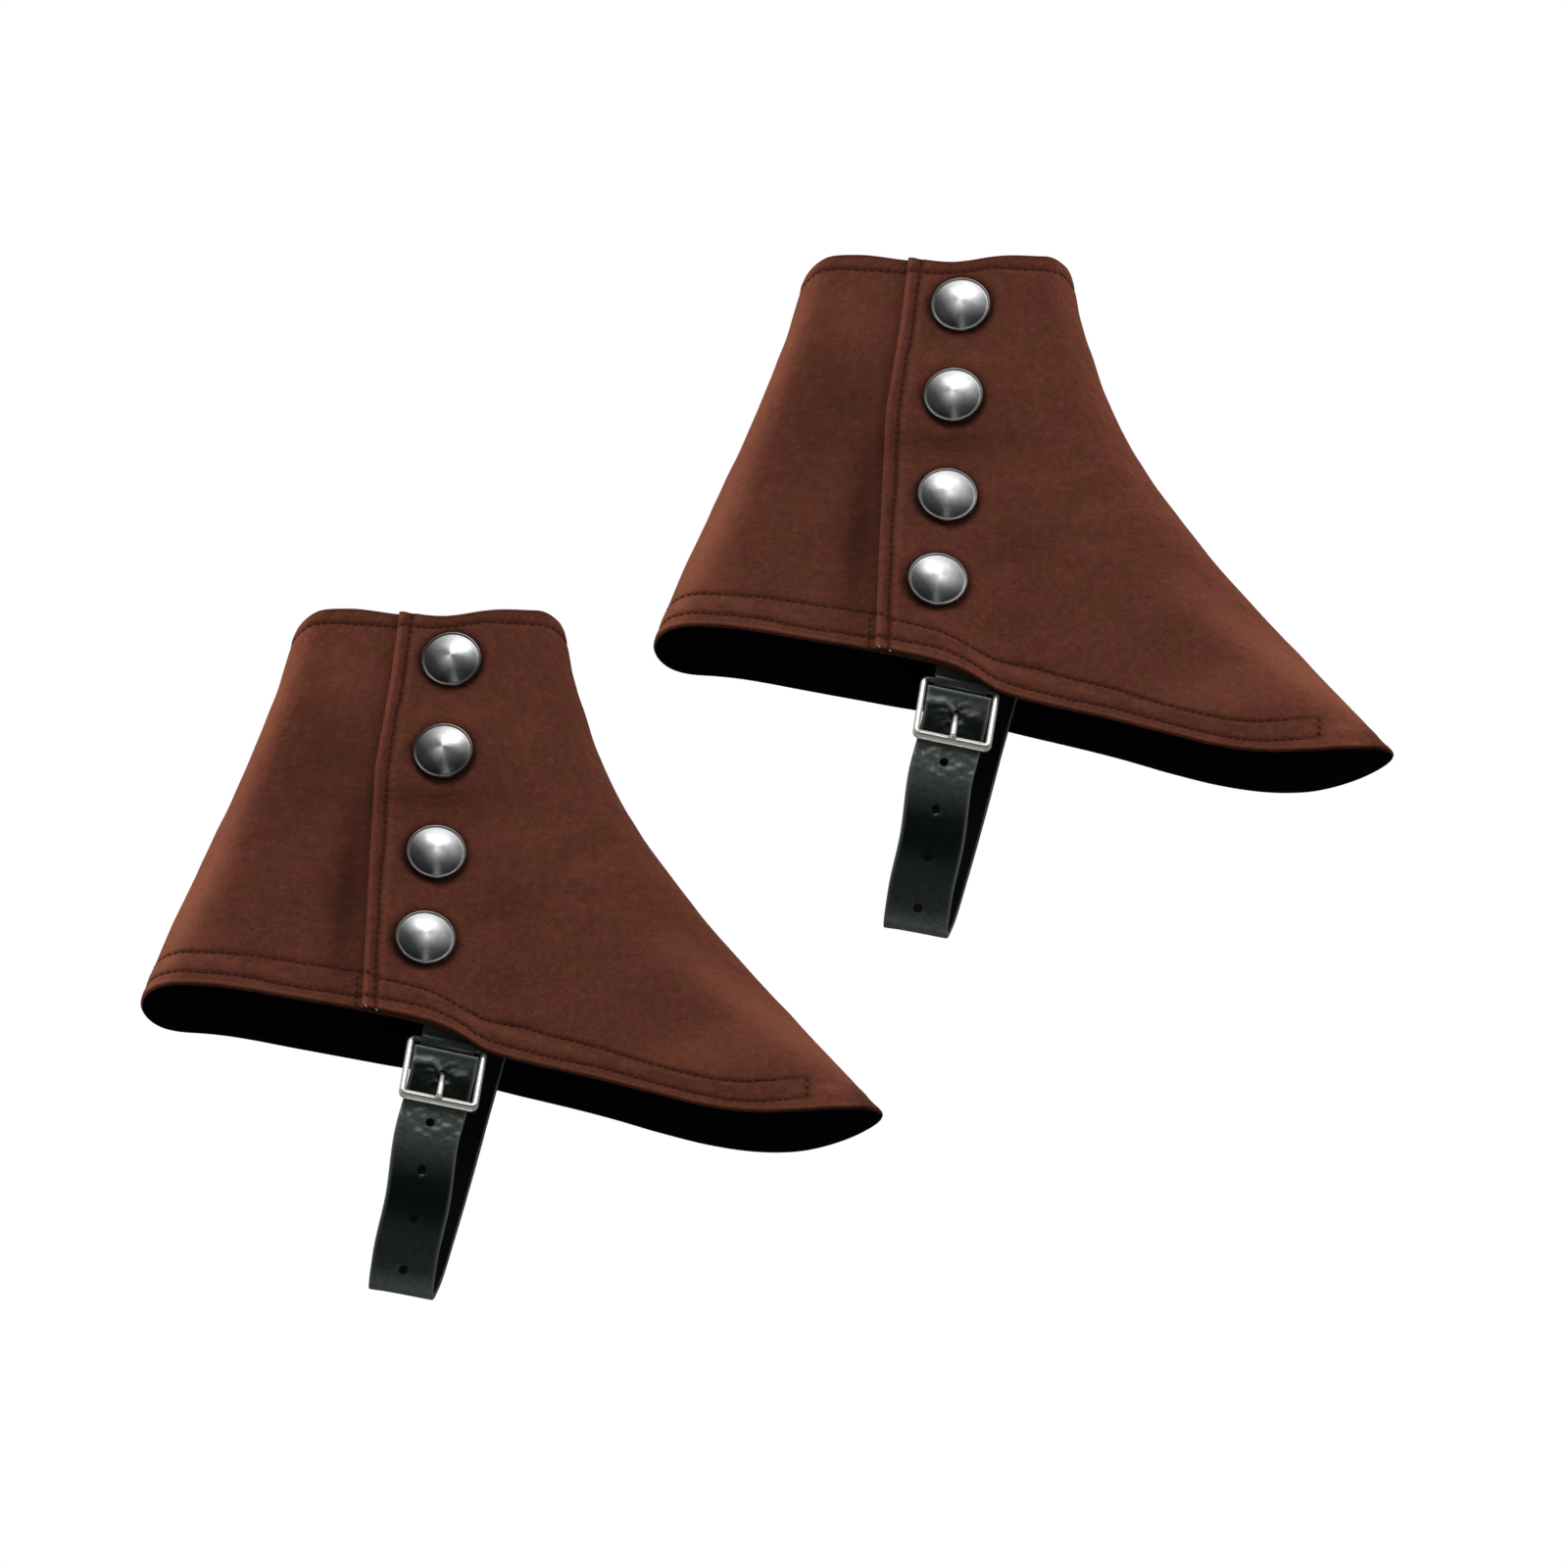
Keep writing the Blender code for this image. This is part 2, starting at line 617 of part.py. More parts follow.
def make_cutter(name, meshes_data, parent):
    """Hidden object of one or more closed shapes that is cut away from a piece."""
    vertices, faces = [], []
    for shape_vertices, shape_faces in meshes_data:
        offset = len(vertices)
        vertices.extend(shape_vertices)
        faces.extend(tuple(offset + i for i in face) for face in shape_faces)
    cutter = bpy.data.objects.new(name, make_mesh(name, vertices, faces))
    bpy.context.scene.collection.objects.link(cutter)
    cutter.parent = parent
    cutter.hide_render = True
    cutter.display_type = "WIRE"
    return cutter


def cut(piece, cutter):
    difference = piece.modifiers.new("cut", "BOOLEAN")
    difference.operation = "DIFFERENCE"
    difference.solver = "EXACT"
    difference.object = cutter


def make_cloth(name, near, far, holder):
    cloth = {
        "front_panel": panel_front(*near),
        "back_panel": panel_back(*near),
        "inner_panel": panel_inner(*far),
    }
    for piece, (vertices, faces) in cloth.items():
        make_object(f"{name}_{piece}", make_mesh(piece, vertices, faces), holder, FELT, 40)


def make_buttons(name, near, holder):
    dome, dome_faces = button_solid()
    for number, (x, z) in enumerate(BUTTON_PLACES, start=1):
        mesh = make_mesh("button", place_on(dome, *button_seat(*near, x, z)), dome_faces)
        make_object(f"{name}_button_{number}", mesh, holder, DOME_METAL, 50)


def make_buckle(name, frame, holder):
    lean = math.asin(BOTTOM_BAR_OUT / FRAME_LENGTH)
    bottom_bar = (BOTTOM_BAR_OUT, FRAME_LENGTH * math.cos(lean))
    path, in_plane = frame_path(frame, lean)
    wire = make_mesh("frame", *tube(path, BAR_RADIUS, closed=True, in_plane=in_plane))
    make_object(f"{name}_buckle_frame", wire, holder, NICKEL, 50)
    prong = make_mesh("prong", *tube(prong_path(frame, bottom_bar), PRONG_RADIUS))
    make_object(f"{name}_buckle_prong", prong, holder, NICKEL, 50)


def make_tab(name, frame, holder):
    tab = make_object(f"{name}_strap_tab", make_mesh("tab", *tab_solid(frame)), holder, LEATHER, 40)
    cut(tab, make_cutter(f"{name}_tab_slot", [slot_cutter(frame)], holder))


def make_strap(name, frame, far, holder):
    line, width, ahead = strap_line(frame, *far)
    vertices, faces, inward = strap_solid(line, width, ahead)
    strap = make_object(f"{name}_strap", make_mesh("strap", vertices, faces), holder, LEATHER, 40)
    cut(strap, make_cutter(f"{name}_strap_holes", hole_cutters(line, inward), holder))


def make_cover(name, offset):
    """All pieces of one boot cover, under an empty at its ankle opening."""
    holder = bpy.data.objects.new(f"{name}_ankle", None)
    bpy.context.scene.collection.objects.link(holder)
    holder.location = Vector(offset) * MM
    near_grid, far_grid = side_grid(-1), side_grid(1)
    near = (near_grid, grid_normals(near_grid, -1))
    far = (far_grid, grid_normals(far_grid, 1))
    frame = BuckleFrame(*near)
    make_cloth(name, near, far, holder)
    make_buttons(name, near, holder)
    make_buckle(name, frame, holder)
    make_tab(name, frame, holder)
    make_strap(name, frame, far, holder)


clear_scene()
for cover_name, cover_offset in COVERS.items():
    make_cover(cover_name, cover_offset)
bpy.context.view_layer.update()
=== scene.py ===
"""Looks of a pair of felt boot covers: felt, sewing, metal domes, buckles and leather straps.

The toe points to +X, the outer side with the buttons faces -Y, and +Z is up. Sizes are millimetres
in each cover's own frame and become metres when a mesh is made.
"""
from math import acos, asin, atan2, copysign, cos, degrees, pi, radians, sin, sqrt

import bmesh
import bpy
import numpy as np
from mathutils import Matrix, Vector


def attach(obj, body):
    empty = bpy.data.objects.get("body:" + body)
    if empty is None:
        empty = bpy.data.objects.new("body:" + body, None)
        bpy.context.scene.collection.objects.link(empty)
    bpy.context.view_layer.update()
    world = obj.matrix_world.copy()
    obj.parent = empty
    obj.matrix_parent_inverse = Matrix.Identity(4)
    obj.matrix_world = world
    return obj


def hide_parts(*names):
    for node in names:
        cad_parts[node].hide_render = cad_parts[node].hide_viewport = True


MM = 0.001
BODY = "root"

COVERS = {
    "cover1": (0, 0, 0),
    "cover2": (-191.1, 0, -143),
}

# Cloth, as in the solids
WALL = 2
SEAM_GAP = 0.3
UNDERLAP = 34
STEP_BLEND = 16
BACK_LINE = [           # x, z down the centre-back seam
    (-50, -0.5), (-57, -25.5), (-71.8, -66), (-88.8, -106.4), (-103.4, -142.9), (-106.5, -152.2),
]
FRONT_LINE = [          # x, z down the centre-front seam to the toe
    (51.2, -0.5), (57.4, -29.5), (72.4, -71.1), (97, -113.1), (129.2, -155.3), (155.9, -187.8),
    (171.2, -206),
]
TOP_EDGE = [            # x, z, half width of the opening, from back to front
    (-50, -0.5, 18), (-40, 3, 18), (-27, 3.4, 18), (-10, 0.4, 18.2), (8, -2.3, 18.4), (24, -0.3, 18.2),
    (38, 0.4, 18), (51.2, -0.5, 18),
]
HEM_EDGE = [            # x, z, half width of the opening, from heel to toe
    (-106.5, -152.2, 20.6), (-78.5, -154.4, 21.4), (-48.4, -160.9, 22.2), (-18.7, -167.8, 22.4),
    (4, -173.8, 21.4), (27.5, -183.8, 16.6), (47.7, -190.2, 15.8), (67.8, -196.4, 16.6),
    (86.9, -202.7, 17.4), (105.6, -208.5, 17.5), (122.1, -211.6, 17.6), (139.7, -211.9, 17.9),
    (153.6, -209.8, 17.8), (171.2, -206, 16.8),
]
BACK_ROUNDING = {"top": (14, 2), "hem": (20, 2.7)}        # length, power
FRONT_ROUNDING = {"top": (9, 2), "hem": (45, 2.3)}
# Columns: side, x, z of the middle, half length, half width, depth, lean from the vertical
CREASES = [
    (-1, -42, -62, 34, 15, 1.6, 24),
    (-1, -31, -118, 26, 9, 1.3, 8),
    (-1, 34, -88, 26, 10, 1, 78),
    (-1, 88, -138, 30, 13, 1.3, 52),
    (-1, -70, -112, 24, 12, -0.9, 30),
    (1, -36, -56, 30, 14, 1.5, 30),
    (1, 12, -104, 32, 11, 1.4, 84),
    (1, 74, -128, 34, 13, 1.3, 46),
    (1, -60, -124, 26, 12, -1, 22),
]
# Smaller troughs and ridges, in the same columns
FINE_FOLDS = [
    (-1, -25.5, -116, 30, 4.6, 0.75, 4),
    (-1, -46, -88, 22, 8, 0.6, 38),
    (-1, -38, -34, 15, 6.5, 0.45, 16),
    (-1, -62, -70, 26, 6, -0.4, 24),
    (-1, -77, -134, 18, 7.5, 0.45, 34),
    (-1, 7, -80, 22, 4.6, 0.7, 86),
    (-1, 20, -40, 18, 5, 0.45, 74),
    (-1, 40, -58, 20, 6, -0.35, 40),
    (-1, 62, -104, 21, 5.5, 0.5, 62),
    (-1, 30, -128, 24, 6, 0.5, 70),
    (-1, 93, -160, 20, 6, 0.55, 58),
    (-1, 24, -160, 19, 5, 0.5, 66),
    (-1, 118, -178, 16, 5, -0.35, 50),
    (1, -20, -98, 28, 5.5, 0.7, 12),
    (1, -52, -90, 20, 7.5, 0.5, 34),
    (1, 26, -60, 21, 5, 0.6, 72),
    (1, 2, -30, 17, 5.5, 0.45, 80),
    (1, 55, -112, 22, 6, 0.55, 58),
    (1, 20, -142, 24, 5.5, 0.45, 68),
    (1, 98, -166, 19, 6, 0.5, 54),
    (1, -78, -136, 17, 7, 0.45, 30),
    (1, 44, -86, 18, 6, -0.35, 44),
]
# Patches of painted shade over troughs and of painted light along the heel and front edges: side, x, z,
# half length, half width, darkness, lean
PAINTED_SHADE_AND_LIGHT = [
    (-1, -40, -74, 40, 17, 0.3, 22),
    (-1, -27, -120, 42, 7.5, 0.6, 6),
    (-1, -30, -52, 12, 12, 0.1, 0),
    (-1, -62, -126, 26, 14, 0.02, 60),
    (-1, 2, -80, 24, 7, 0.44, 86),
    (-1, 14, -41, 24, 6, -0.05, 78),
    (-1, 44, -96, 30, 11, 0.03, 60),
    (-1, 22, -124, 22, 8, 0.1, 80),
    (-1, 70, -150, 26, 12, -0.03, 66),
    (-1, -84, -116, 52, 8, -0.4, 24),
    (-1, -60, -38, 40, 7, -0.3, 20),
    (-1, -30, -24, 16, 14, -0.14, 0),
    (-1, 132, -172, 52, 8, -0.4, -52),
    (-1, 90, -112, 30, 7, -0.04, -36),
    (-1, 112, -184, 26, 12, -0.22, 80),
    (-1, -46, -126, 18, 11, 0.12, 60),
    (-1, -79, -134, 16, 9, -0.12, 20),
    (-1, 36, -108, 20, 12, -0.05, 70),
    (1, -30, -80, 40, 16, 0.26, 16),
    (1, 30, -110, 34, 12, 0.22, 70),
    (1, 0, -150, 20, 9, 0.16, 84),
    (1, 86, -156, 28, 10, 0.14, 62),
    (1, -84, -116, 52, 8, -0.36, 24),
    (1, 132, -172, 52, 8, -0.36, -52),
]
CLOSURE_EDGE = [        # x, z of the closure's edge, from top to hem
    (-9, -1.4), (-12.3, -30.6), (-17.4, -65), (-19.5, -115), (-21.6, -168),
]

# Grid of the solids, on which the buttons, tab and strap are seated
ROWS = 14
BACK_COLUMNS = 10
UNDERLAP_COLUMNS = 5
FRONT_COLUMNS = 13
END_CROWDING = 0.45

# Finer cloth grid
EDGE_PLACES = (0, 0.3, 0.5, 0.8, 1.2)     # distances from an edge that draw its rounding
FINE_STEP = 0.6
BROAD_STEP = 2.2
TOP_ZONE = 9
HEM_ZONE = 20
CLOSURE_ZONE = 8
USUAL_HEIGHT = 205
BACK_STEPS = 40
SHOWN_COLUMNS = BACK_STEPS + len(EDGE_PLACES)    # of the back panel, up to the closure
UNDERLAP_STEPS = 20
OVERLAP_STEPS = 14
FRONT_STEPS = 74
ROUND_STEPS = 146
EDGE_RADIUS = 0.95
SEAM_RADIUS = 0.5
SEAM_CLOSE = 0.012          # the sewn panels meet at the centre seams
# Unevenness of the felt as seed, shortest and longest wave, and its heights
BROAD_WAVES, FINE_WAVES, EDGE_WAVES, ROWS_SHINE_WAVES = (5, 26, 70), (6, 7, 16), (8, 4.5, 9), (9, 9, 30)
BROAD_HEIGHT, FINE_HEIGHT, EDGE_HEIGHT = 0.22, 0.05, 0.09
DIMPLE_DEPTH = 0.5          # how far a button presses into the felt
# Swells at a distance from an edge: height, distance, half width
HEM_UNEVEN, TOP_UNEVEN = [(1, 9, 7)], [(1, 5, 4)]
HEM_PUFFS, TOP_PUFFS = [(0.22, 2.6, 1.5), (0.16, 10, 2.6)], [(0.22, 3, 1.8)]
CLOSURE_PUFFS = [(0.38, 2, 1.3), (0.2, 7.2, 1.6)]
# The same for the felt's bands of painted highlight and painted shade
ROWS_SHINE, HEM_SHINE, CLOSURE_SHADOW = [(0.16, 10, 2.4)], [(0.24, 1.6, 0.7)], [(0.3, -0.5, 2.4)]
CLOSURE_SHINE = [(0.22, 1.3, 0.8), (0.12, 7.2, 1.2)]
# Strengths of painted shade: in the stitch grooves, in the button dimples, at the toe and along the hem
GROOVE_SHADE, PRESS_SHADE, TOE_DARKNESS, HEM_DARKNESS = 0.42, 0.75, 0.85, 0.9
TOE_SHADE = (157, 11)       # x at which the toe starts to darken, length of the change
OUTER_HEM, INNER_HEM = 0.8, 2.2             # half widths of the painted shade along the hem
CONTACT_REACH = 5.5         # how far a button's painted contact shadow reaches round it

# Sewing; a row is a table of x and distance from the cloth's edge
TOP_ROW = [(-50, 6), (-27, 6.6), (0, 5.2), (8, 4.6), (30, 6), (51, 6.6)]
LOWER_ROW = [(-106, 5.2), (-40, 5.4), (60, 5.2), (150, 5.6)]
UPPER_ROW = [(-106, 13.6), (-72, 14), (-44, 15.7), (-23, 16), (-16, 13.8), (13, 11.9),
             (38, 15.2), (80, 14.4), (150, 15.4)]
HEM_ROWS = (LOWER_ROW, UPPER_ROW)
CLOSURE_ROW = 4.8
TACK_ROW = -2.4             # short row beside the closure's foot, on the back panel
TACK_HEIGHT = 16
ROW_END = 143.5             # x at which the hem rows end near the toe, joined by an upright row
STITCH_PITCH = 2.9
STITCH_LENGTH = 2.2
THREAD_RADIUS = 0.42
GROOVE_DEPTH = 0.42
GROOVE_HALF = 1
ROW_WANDER = 0.28           # how far a row strays from its line
THREAD_ENDS = [(1.2, 0.9, 2), (5.6, 0.5, 1.6)]      # from the closure, above the hem, length
THREAD_END_RADIUS = 0.24

# Buttons
BUTTON_PLACES = [(10.8, -21.3), (7.9, -59.6), (5.2, -102), (1.5, -138.4)]     # x, z
BUTTON_RADIUS = 11.2
BUTTON_HEIGHT = 4.6
BUTTON_RIM = 0.7
DOME_RADIUS = 10.3          # where the dome meets its rolled rim
BUTTON_FOOT = [(0.9, -0.1), (0.25, 0)]      # inset from the button's radius, height
RIM_SHADE = (9.8, 10.4)     # radii between which painted shade darkens the rim
SPUN_RINGS = 4200           # rings of the spun metal a metre

# Strap, tab and buckle
BAR_PLACE = (10.8, -179.3)
TAB_CLEARANCE = 0.4
STRAP_TILT = radians(9)
STRAP_WIDTH = 24.2
STRAP_THICK = 1.8
TAB_WIDTH = 20.4
TAB_THICK = 1.5
TAB_RISE = 17
TAB_SLOT = 3
SLOT_FRONT = 0.95           # the slot stays hidden behind the front of the fold
BAR_RADIUS = 1.2
BOTTOM_BAR_HALF = 1.9
BOTTOM_BAR_OUT = 3.2
WIRE_GAP = 0.3
FRAME_WIDTH = 27.6
FRAME_LENGTH = 25.2
FRAME_CORNER = 1.8
PRONG_RADIUS = 0.9
PRONG_HOLE = 14.6
HOLE_PITCH = 19.2
HOLE_COUNT = 5
HOLE_RADIUS = 1.6
USED_HOLE = (2.8, 1.5)
FRAME_SHARP, LEATHER_SHARP = 42, 38         # degrees above which an edge stays sharp
STRAP_TIP = BAR_RADIUS + WIRE_GAP + TAB_THICK + 0.5
STRAP_FRONT = 2.3
STRAP_LOOP = [              # x, y, z of the strap's outward face under the foot
    (-1, -14.6, -243), (-6, -9.2, -263.5), (-8.2, -0.8, -274.2), (-6.4, 7.4, -266), (-0.8, 12, -244),
    (5.8, 14.2, -218),
]
SEWN_PLACES = [(12.6, -190), (16.8, -174), (20.2, -161)]
# Painted reflection on the strap's face: distance from its tip, strength
STRAP_REFLECTION = [(0, 0.4), (4.5, 0.36), (7, 0.04), (20, 0), (24, 0.6), (31, 0.8),
              (38, 0.56), (46, 0.24), (53, 0.03), (60, 0), (66, 0.02), (73, 0.15),
              (88, 0.3), (94, 1), (108, 1.5), (116, 0.5), (130, 0.05)]
# Unevenness of the strap as seed, shortest and longest wave: stressed, by a free hole, all over
STRESS_WAVES, HOLE_WAVES, STRAP_WAVES = (31, 2.6, 7), (33, 3.2, 6.5), (32, 5, 14)
STRESS_HEIGHT, STRAP_HEIGHT = 0.18, 0.035
RIDGE_HEIGHT, RIDGE_HALF = 0.75, 1
WIDE_STRESS, STRESS = 6.5, 3.5              # half widths of the stressed leather round a hole
# Swells of the strap: height, distance, half width
HOLE_CREASES, HOLE_DENT, TIP_SWELL = [(0.3, 1, 5.5)], [(0.35, 0, 0.9)], [(0.35, 0.8, 0.8)]
SIDE_SWELL, SIDE_SPOT = [(0.45, -1, 2.6)], [(1, 7.5, 3.2)]
# Ridge of the leather above the hole in use: across, distance below the bar
STRAP_RIDGE = [(-13, 10.6), (-8.2, 10), (-4.2, 9.5), (-1.6, 11.5), (-0.3, 13.2)]

# Camera
CAMERA_AZIMUTH = 4
CAMERA_ELEVATION = -27
CAMERA_LENS = 600
CAMERA_DISTANCE = 9.753
CAMERA_TARGET = Vector((-0.0572, 0, -0.2102))

# Columns: name, azimuth, elevation, distance, size, power, lights cloth, seen in reflections
LIGHTS = [
    ("key_light", -18, 48, 2.2, 1.5, 34, True, False),
    ("heel_light", -84, 14, 1.9, 1.2, 34, True, False),
    ("toe_light", 82, 24, 1.9, 1.2, 28, True, False),
    ("low_light", 14, -35, 2.4, 1.4, 6, True, False),
    ("back_light", 180, 35, 2.4, 1.6, 16, True, False),
    ("top_card", 9, 50, 1.8, 1.25, 26, False, True),
    ("front_card", 34, 26, 2.2, 0.5, 0.9, False, True),
    ("low_card", 8, -62, 1.8, 0.6, 4.5, False, True),
]
FLOOR_HALF, FLOOR_LEVEL = 900, -14          # metres


def arc_length(points):
    steps = np.linalg.norm(np.diff(points, axis=0), axis=1)
    return np.concatenate([[0], np.cumsum(steps)])


def through(points, fractions):
    """Read a smooth curve through the points at fractions of its chord length."""
    points = np.asarray(points, float)
    knots = arc_length(points)
    knots /= knots[-1]
    slopes = np.gradient(points, knots, axis=0)
    place = np.clip(np.asarray(fractions, float), 0, 1)
    left = np.clip(np.searchsorted(knots, place, side="right") - 1, 0, len(knots) - 2)
    span = (knots[left + 1] - knots[left])[..., None]
    t = (place - knots[left])[..., None] / span
    return ((2 * t**3 - 3 * t**2 + 1) * points[left] + (t**3 - 2 * t**2 + t) * span * slopes[left]
            + (3 * t**2 - 2 * t**3) * points[left + 1] + (t**3 - t**2) * span * slopes[left + 1])


def smoothstep(value):
    value = np.clip(value, 0, 1)
    return value * value * (3 - 2 * value)


def unit(vector):
    vector = np.asarray(vector, float)
    return vector / np.linalg.norm(vector, axis=-1, keepdims=True)


def read_at(places, reach, values):
    """Rows of values read at places along their arc length."""
    return np.column_stack([np.interp(places, reach, values[:, axis]) for axis in range(3)])


def bell(distance, half_width):
    return np.exp(-(distance / half_width)**2)


def swells(distance, table):
    """Sum of rounded swells; a row of the table is height, distance and half width."""
    return sum(height * bell(distance - middle, half) for height, middle, half in table)


# Form of the cloth

def side_view(u, v):
    """Point (x, z) of the cloth at u from back to front and v from top to hem."""
    top, hem = (through(edge, u)[..., [0, 1]] for edge in (TOP_EDGE, HEM_EDGE))
    back, front = through(BACK_LINE, v), through(FRONT_LINE, v)
    u, v = np.asarray(u, float)[..., None], np.asarray(v, float)[..., None]
    corners = ((1 - u) * (1 - v) * TOP_EDGE[0][:2] + u * (1 - v) * TOP_EDGE[-1][:2]
               + (1 - u) * v * HEM_EDGE[0][:2] + u * v * HEM_EDGE[-1][:2])
    return (1 - v) * top + v * hem + (1 - u) * back + u * front - corners


def rounding(distance, ends, v):
    """Share of the full half width at a distance from a seam."""
    (top_length, top_power), (hem_length, hem_power) = ends["top"], ends["hem"]
    left = np.clip(1 - distance / (top_length + (hem_length - top_length) * v), 0, 1)
    return np.sqrt(1 - left**(top_power + (hem_power - top_power) * v))


def fold_depth(folds, side, x, z):
    depth = np.zeros_like(x)
    for fold_side, middle_x, middle_z, half_length, half_width, deep, lean in folds:
        if fold_side == side:
            s, c = sin(radians(lean)), cos(radians(lean))
            along, across = (x - middle_x) * s + (z - middle_z) * c, (x - middle_x) * c - (z - middle_z) * s
            depth += deep * np.exp(-(along / half_length)**2 - (across / half_width)**2)
    return depth


def section(side, v, samples=400):
    """Points of one section on one side, from the back seam to the front seam."""
    u = 0.5 - 0.5 * np.cos(np.linspace(0, pi, samples))
    flat = side_view(u, np.full(samples, v))
    reach = arc_length(flat)
    width = (1 - v) * through(TOP_EDGE, u)[:, 2] + v * through(HEM_EDGE, u)[:, 2]
    ends = rounding(reach, BACK_ROUNDING, v) * rounding(reach[-1] - reach, FRONT_ROUNDING, v)
    width = (width - fold_depth(CREASES, side, flat[:, 0], flat[:, 1])) * ends
    return np.column_stack([flat[:, 0], side * width, flat[:, 1]])


def side_grid(side, heights, columns_of):
    """Grid of points on the cloth's outer face, rows from top to hem, columns back to front."""
    edge_x, edge_z = np.array(CLOSURE_EDGE[::-1]).T
    rows = []
    for v in heights:
        points = section(side, v)
        reach = arc_length(points)
        closure = np.interp(0, points[:, 0] - np.interp(points[:, 2], edge_z, edge_x), reach)
        row = read_at(columns_of(closure, reach[-1]), reach, points)
        row[:, 1] = side * np.maximum(side * row[:, 1], SEAM_GAP / 2)
        rows.append(row)
    return np.array(rows)


def grid_normals(grid, side, seams=(0, -1)):
    """Outward normals, level across the centre seams."""
    normals = unit(np.cross(np.gradient(grid, axis=1), np.gradient(grid, axis=0)) * side)
    for end in seams:
        normals[:, end, 1] = 0
    return unit(normals)


def solid_columns(closure, total):
    """Columns of the solids' grid: back, underlap and front stretches."""
    back, under, front = (np.linspace(0, 1, count + 1)
                          for count in (BACK_COLUMNS, UNDERLAP_COLUMNS, FRONT_COLUMNS))
    back = closure * ((1 - END_CROWDING) * back + END_CROWDING * back**2)
    under = closure + UNDERLAP * under
    front = (1 + END_CROWDING) * front - END_CROWDING * front**2
    return np.concatenate([back[:-1], under[:-1], under[-1] + (total - under[-1]) * front])


def stretches(*parts):
    """Places along stretches (length, steps) that follow each other, closer at both outer edges."""
    close, inset = np.array(EDGE_PLACES[:-1]), EDGE_PLACES[-1]
    made, start = [close], 0
    for number, (length, steps) in enumerate(parts):
        first = inset if number == 0 else 0
        last = inset if number == len(parts) - 1 else 0
        made.append(start + np.linspace(first, length - last, steps + 1)[number > 0:])
        start += length
    return np.concatenate([*made, start - close[::-1]])


def fine_heights():
    middle = USUAL_HEIGHT - TOP_ZONE - HEM_ZONE
    return stretches((TOP_ZONE, round(TOP_ZONE / FINE_STEP)), (middle, round(middle / BROAD_STEP)),
                     (HEM_ZONE, round(HEM_ZONE / FINE_STEP))) / USUAL_HEIGHT


def back_columns(closure, total):
    return stretches((closure, BACK_STEPS), (UNDERLAP, UNDERLAP_STEPS))


def front_columns(closure, total):
    return closure + stretches((CLOSURE_ZONE, round(CLOSURE_ZONE / FINE_STEP)),
                               (UNDERLAP - CLOSURE_ZONE, OVERLAP_STEPS),
                               (total - closure - UNDERLAP, FRONT_STEPS))


def round_columns(closure, total):
    return stretches((total, ROUND_STEPS))


def wander(place):
    """How far a hand-guided row of stitches strays at a place along it."""
    return ROW_WANDER * (np.sin(place / 5.3 + 1) * 0.6 + np.sin(place / 2.1) * 0.3
                         + np.sin(place / 13 + 2))


def row_line(row, x):
    """Distance of a row of stitches from the cloth's edge at x."""
    return np.interp(x, *np.array(row).T) + wander(x)


def round_off(distance, radius):
    """How far a face drops near an edge that is rounded."""
    left = np.clip(radius - distance, 0, radius)
    return radius - np.sqrt(radius**2 - left**2)


def unevenness(points, seed, shortest, longest, count=14):
    """Smooth field between about -1 and 1 that wanders over the points, from crossing waves."""
    rng = np.random.default_rng(seed)
    field = np.zeros(points.shape[:-1])
    for _ in range(count):
        way = unit(rng.normal(size=3))
        length = rng.uniform(shortest, longest)
        field += np.sin(points @ way * 2 * pi / length + rng.uniform(0, 2 * pi))
    return field / sqrt(count)


def button_offsets(grid):
    """Offset of the cloth's points from the nearest button."""
    offsets = np.array([(grid[..., 0] - x, grid[..., 2] - z) for x, z in BUTTON_PLACES])
    nearest = np.hypot(offsets[:, 0], offsets[:, 1]).argmin(axis=0)
    return [np.take_along_axis(offsets[:, i], nearest[None], 0)[0] for i in range(2)]


# Meshes

def make_mesh(name, vertices, faces, outwards=True):
    """Mesh in metres with its faces turned outwards."""
    mesh = bpy.data.meshes.new(name)
    mesh.from_pydata(np.asarray(vertices) * MM, [], faces)
    if outwards:
        work = bmesh.new()
        work.from_mesh(mesh)
        bmesh.ops.recalc_face_normals(work, faces=work.faces)
        work.to_mesh(mesh)
        work.free()
    mesh.shade_smooth()
    return mesh


def add_object(name, data):
    made = bpy.data.objects.new(name, data)
    bpy.context.scene.collection.objects.link(made)
    return made


def add_values(mesh, **fields):
    """Named number on each point of a mesh, which its material reads."""
    for name, values in fields.items():
        layer = mesh.attributes.new(name, "FLOAT", "POINT")
        layer.data.foreach_set("value", np.asarray(values, np.float32).ravel())


def add_piece(name, mesh, cover, node, slot, *materials):
    """Object that stands for a solid and rides with the body."""
    piece = add_object(name, mesh)
    piece.location = Vector(COVERS[cover]) * MM
    for material in materials:
        mesh.materials.append(material)
    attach(piece, BODY)
    if node:
        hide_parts(node)
    return piece


def wall_faces(rows, columns):
    """Faces of a closed wall between two grids: outer, inner and edge faces."""
    index = np.arange(rows * columns).reshape(rows, columns)
    outer = np.stack([index[:-1, :-1], index[1:, :-1], index[1:, 1:], index[:-1, 1:]], axis=-1)
    outer = outer.reshape(-1, 4)
    rim = np.concatenate([index[0], index[1:, -1], index[-1, -2::-1], index[-2:0:-1, 0]])
    after = np.roll(rim, -1)
    edge = np.column_stack([rim, after, after + index.size, rim + index.size])
    return outer.tolist(), (outer[:, ::-1] + index.size).tolist(), edge.tolist()


def ring_faces(rings, sides, closed=False):
    """Faces between rings of points, and over both ends unless the last ring meets the first."""
    faces = []
    for ring in range(rings if closed else rings - 1):
        a, b = ring * sides, (ring + 1) % rings * sides
        faces += [(a + turn, a + (turn + 1) % sides, b + (turn + 1) % sides, b + turn)
                  for turn in range(sides)]
    if not closed:
        faces += [tuple(reversed(range(sides))), tuple(range((rings - 1) * sides, rings * sides))]
    return faces


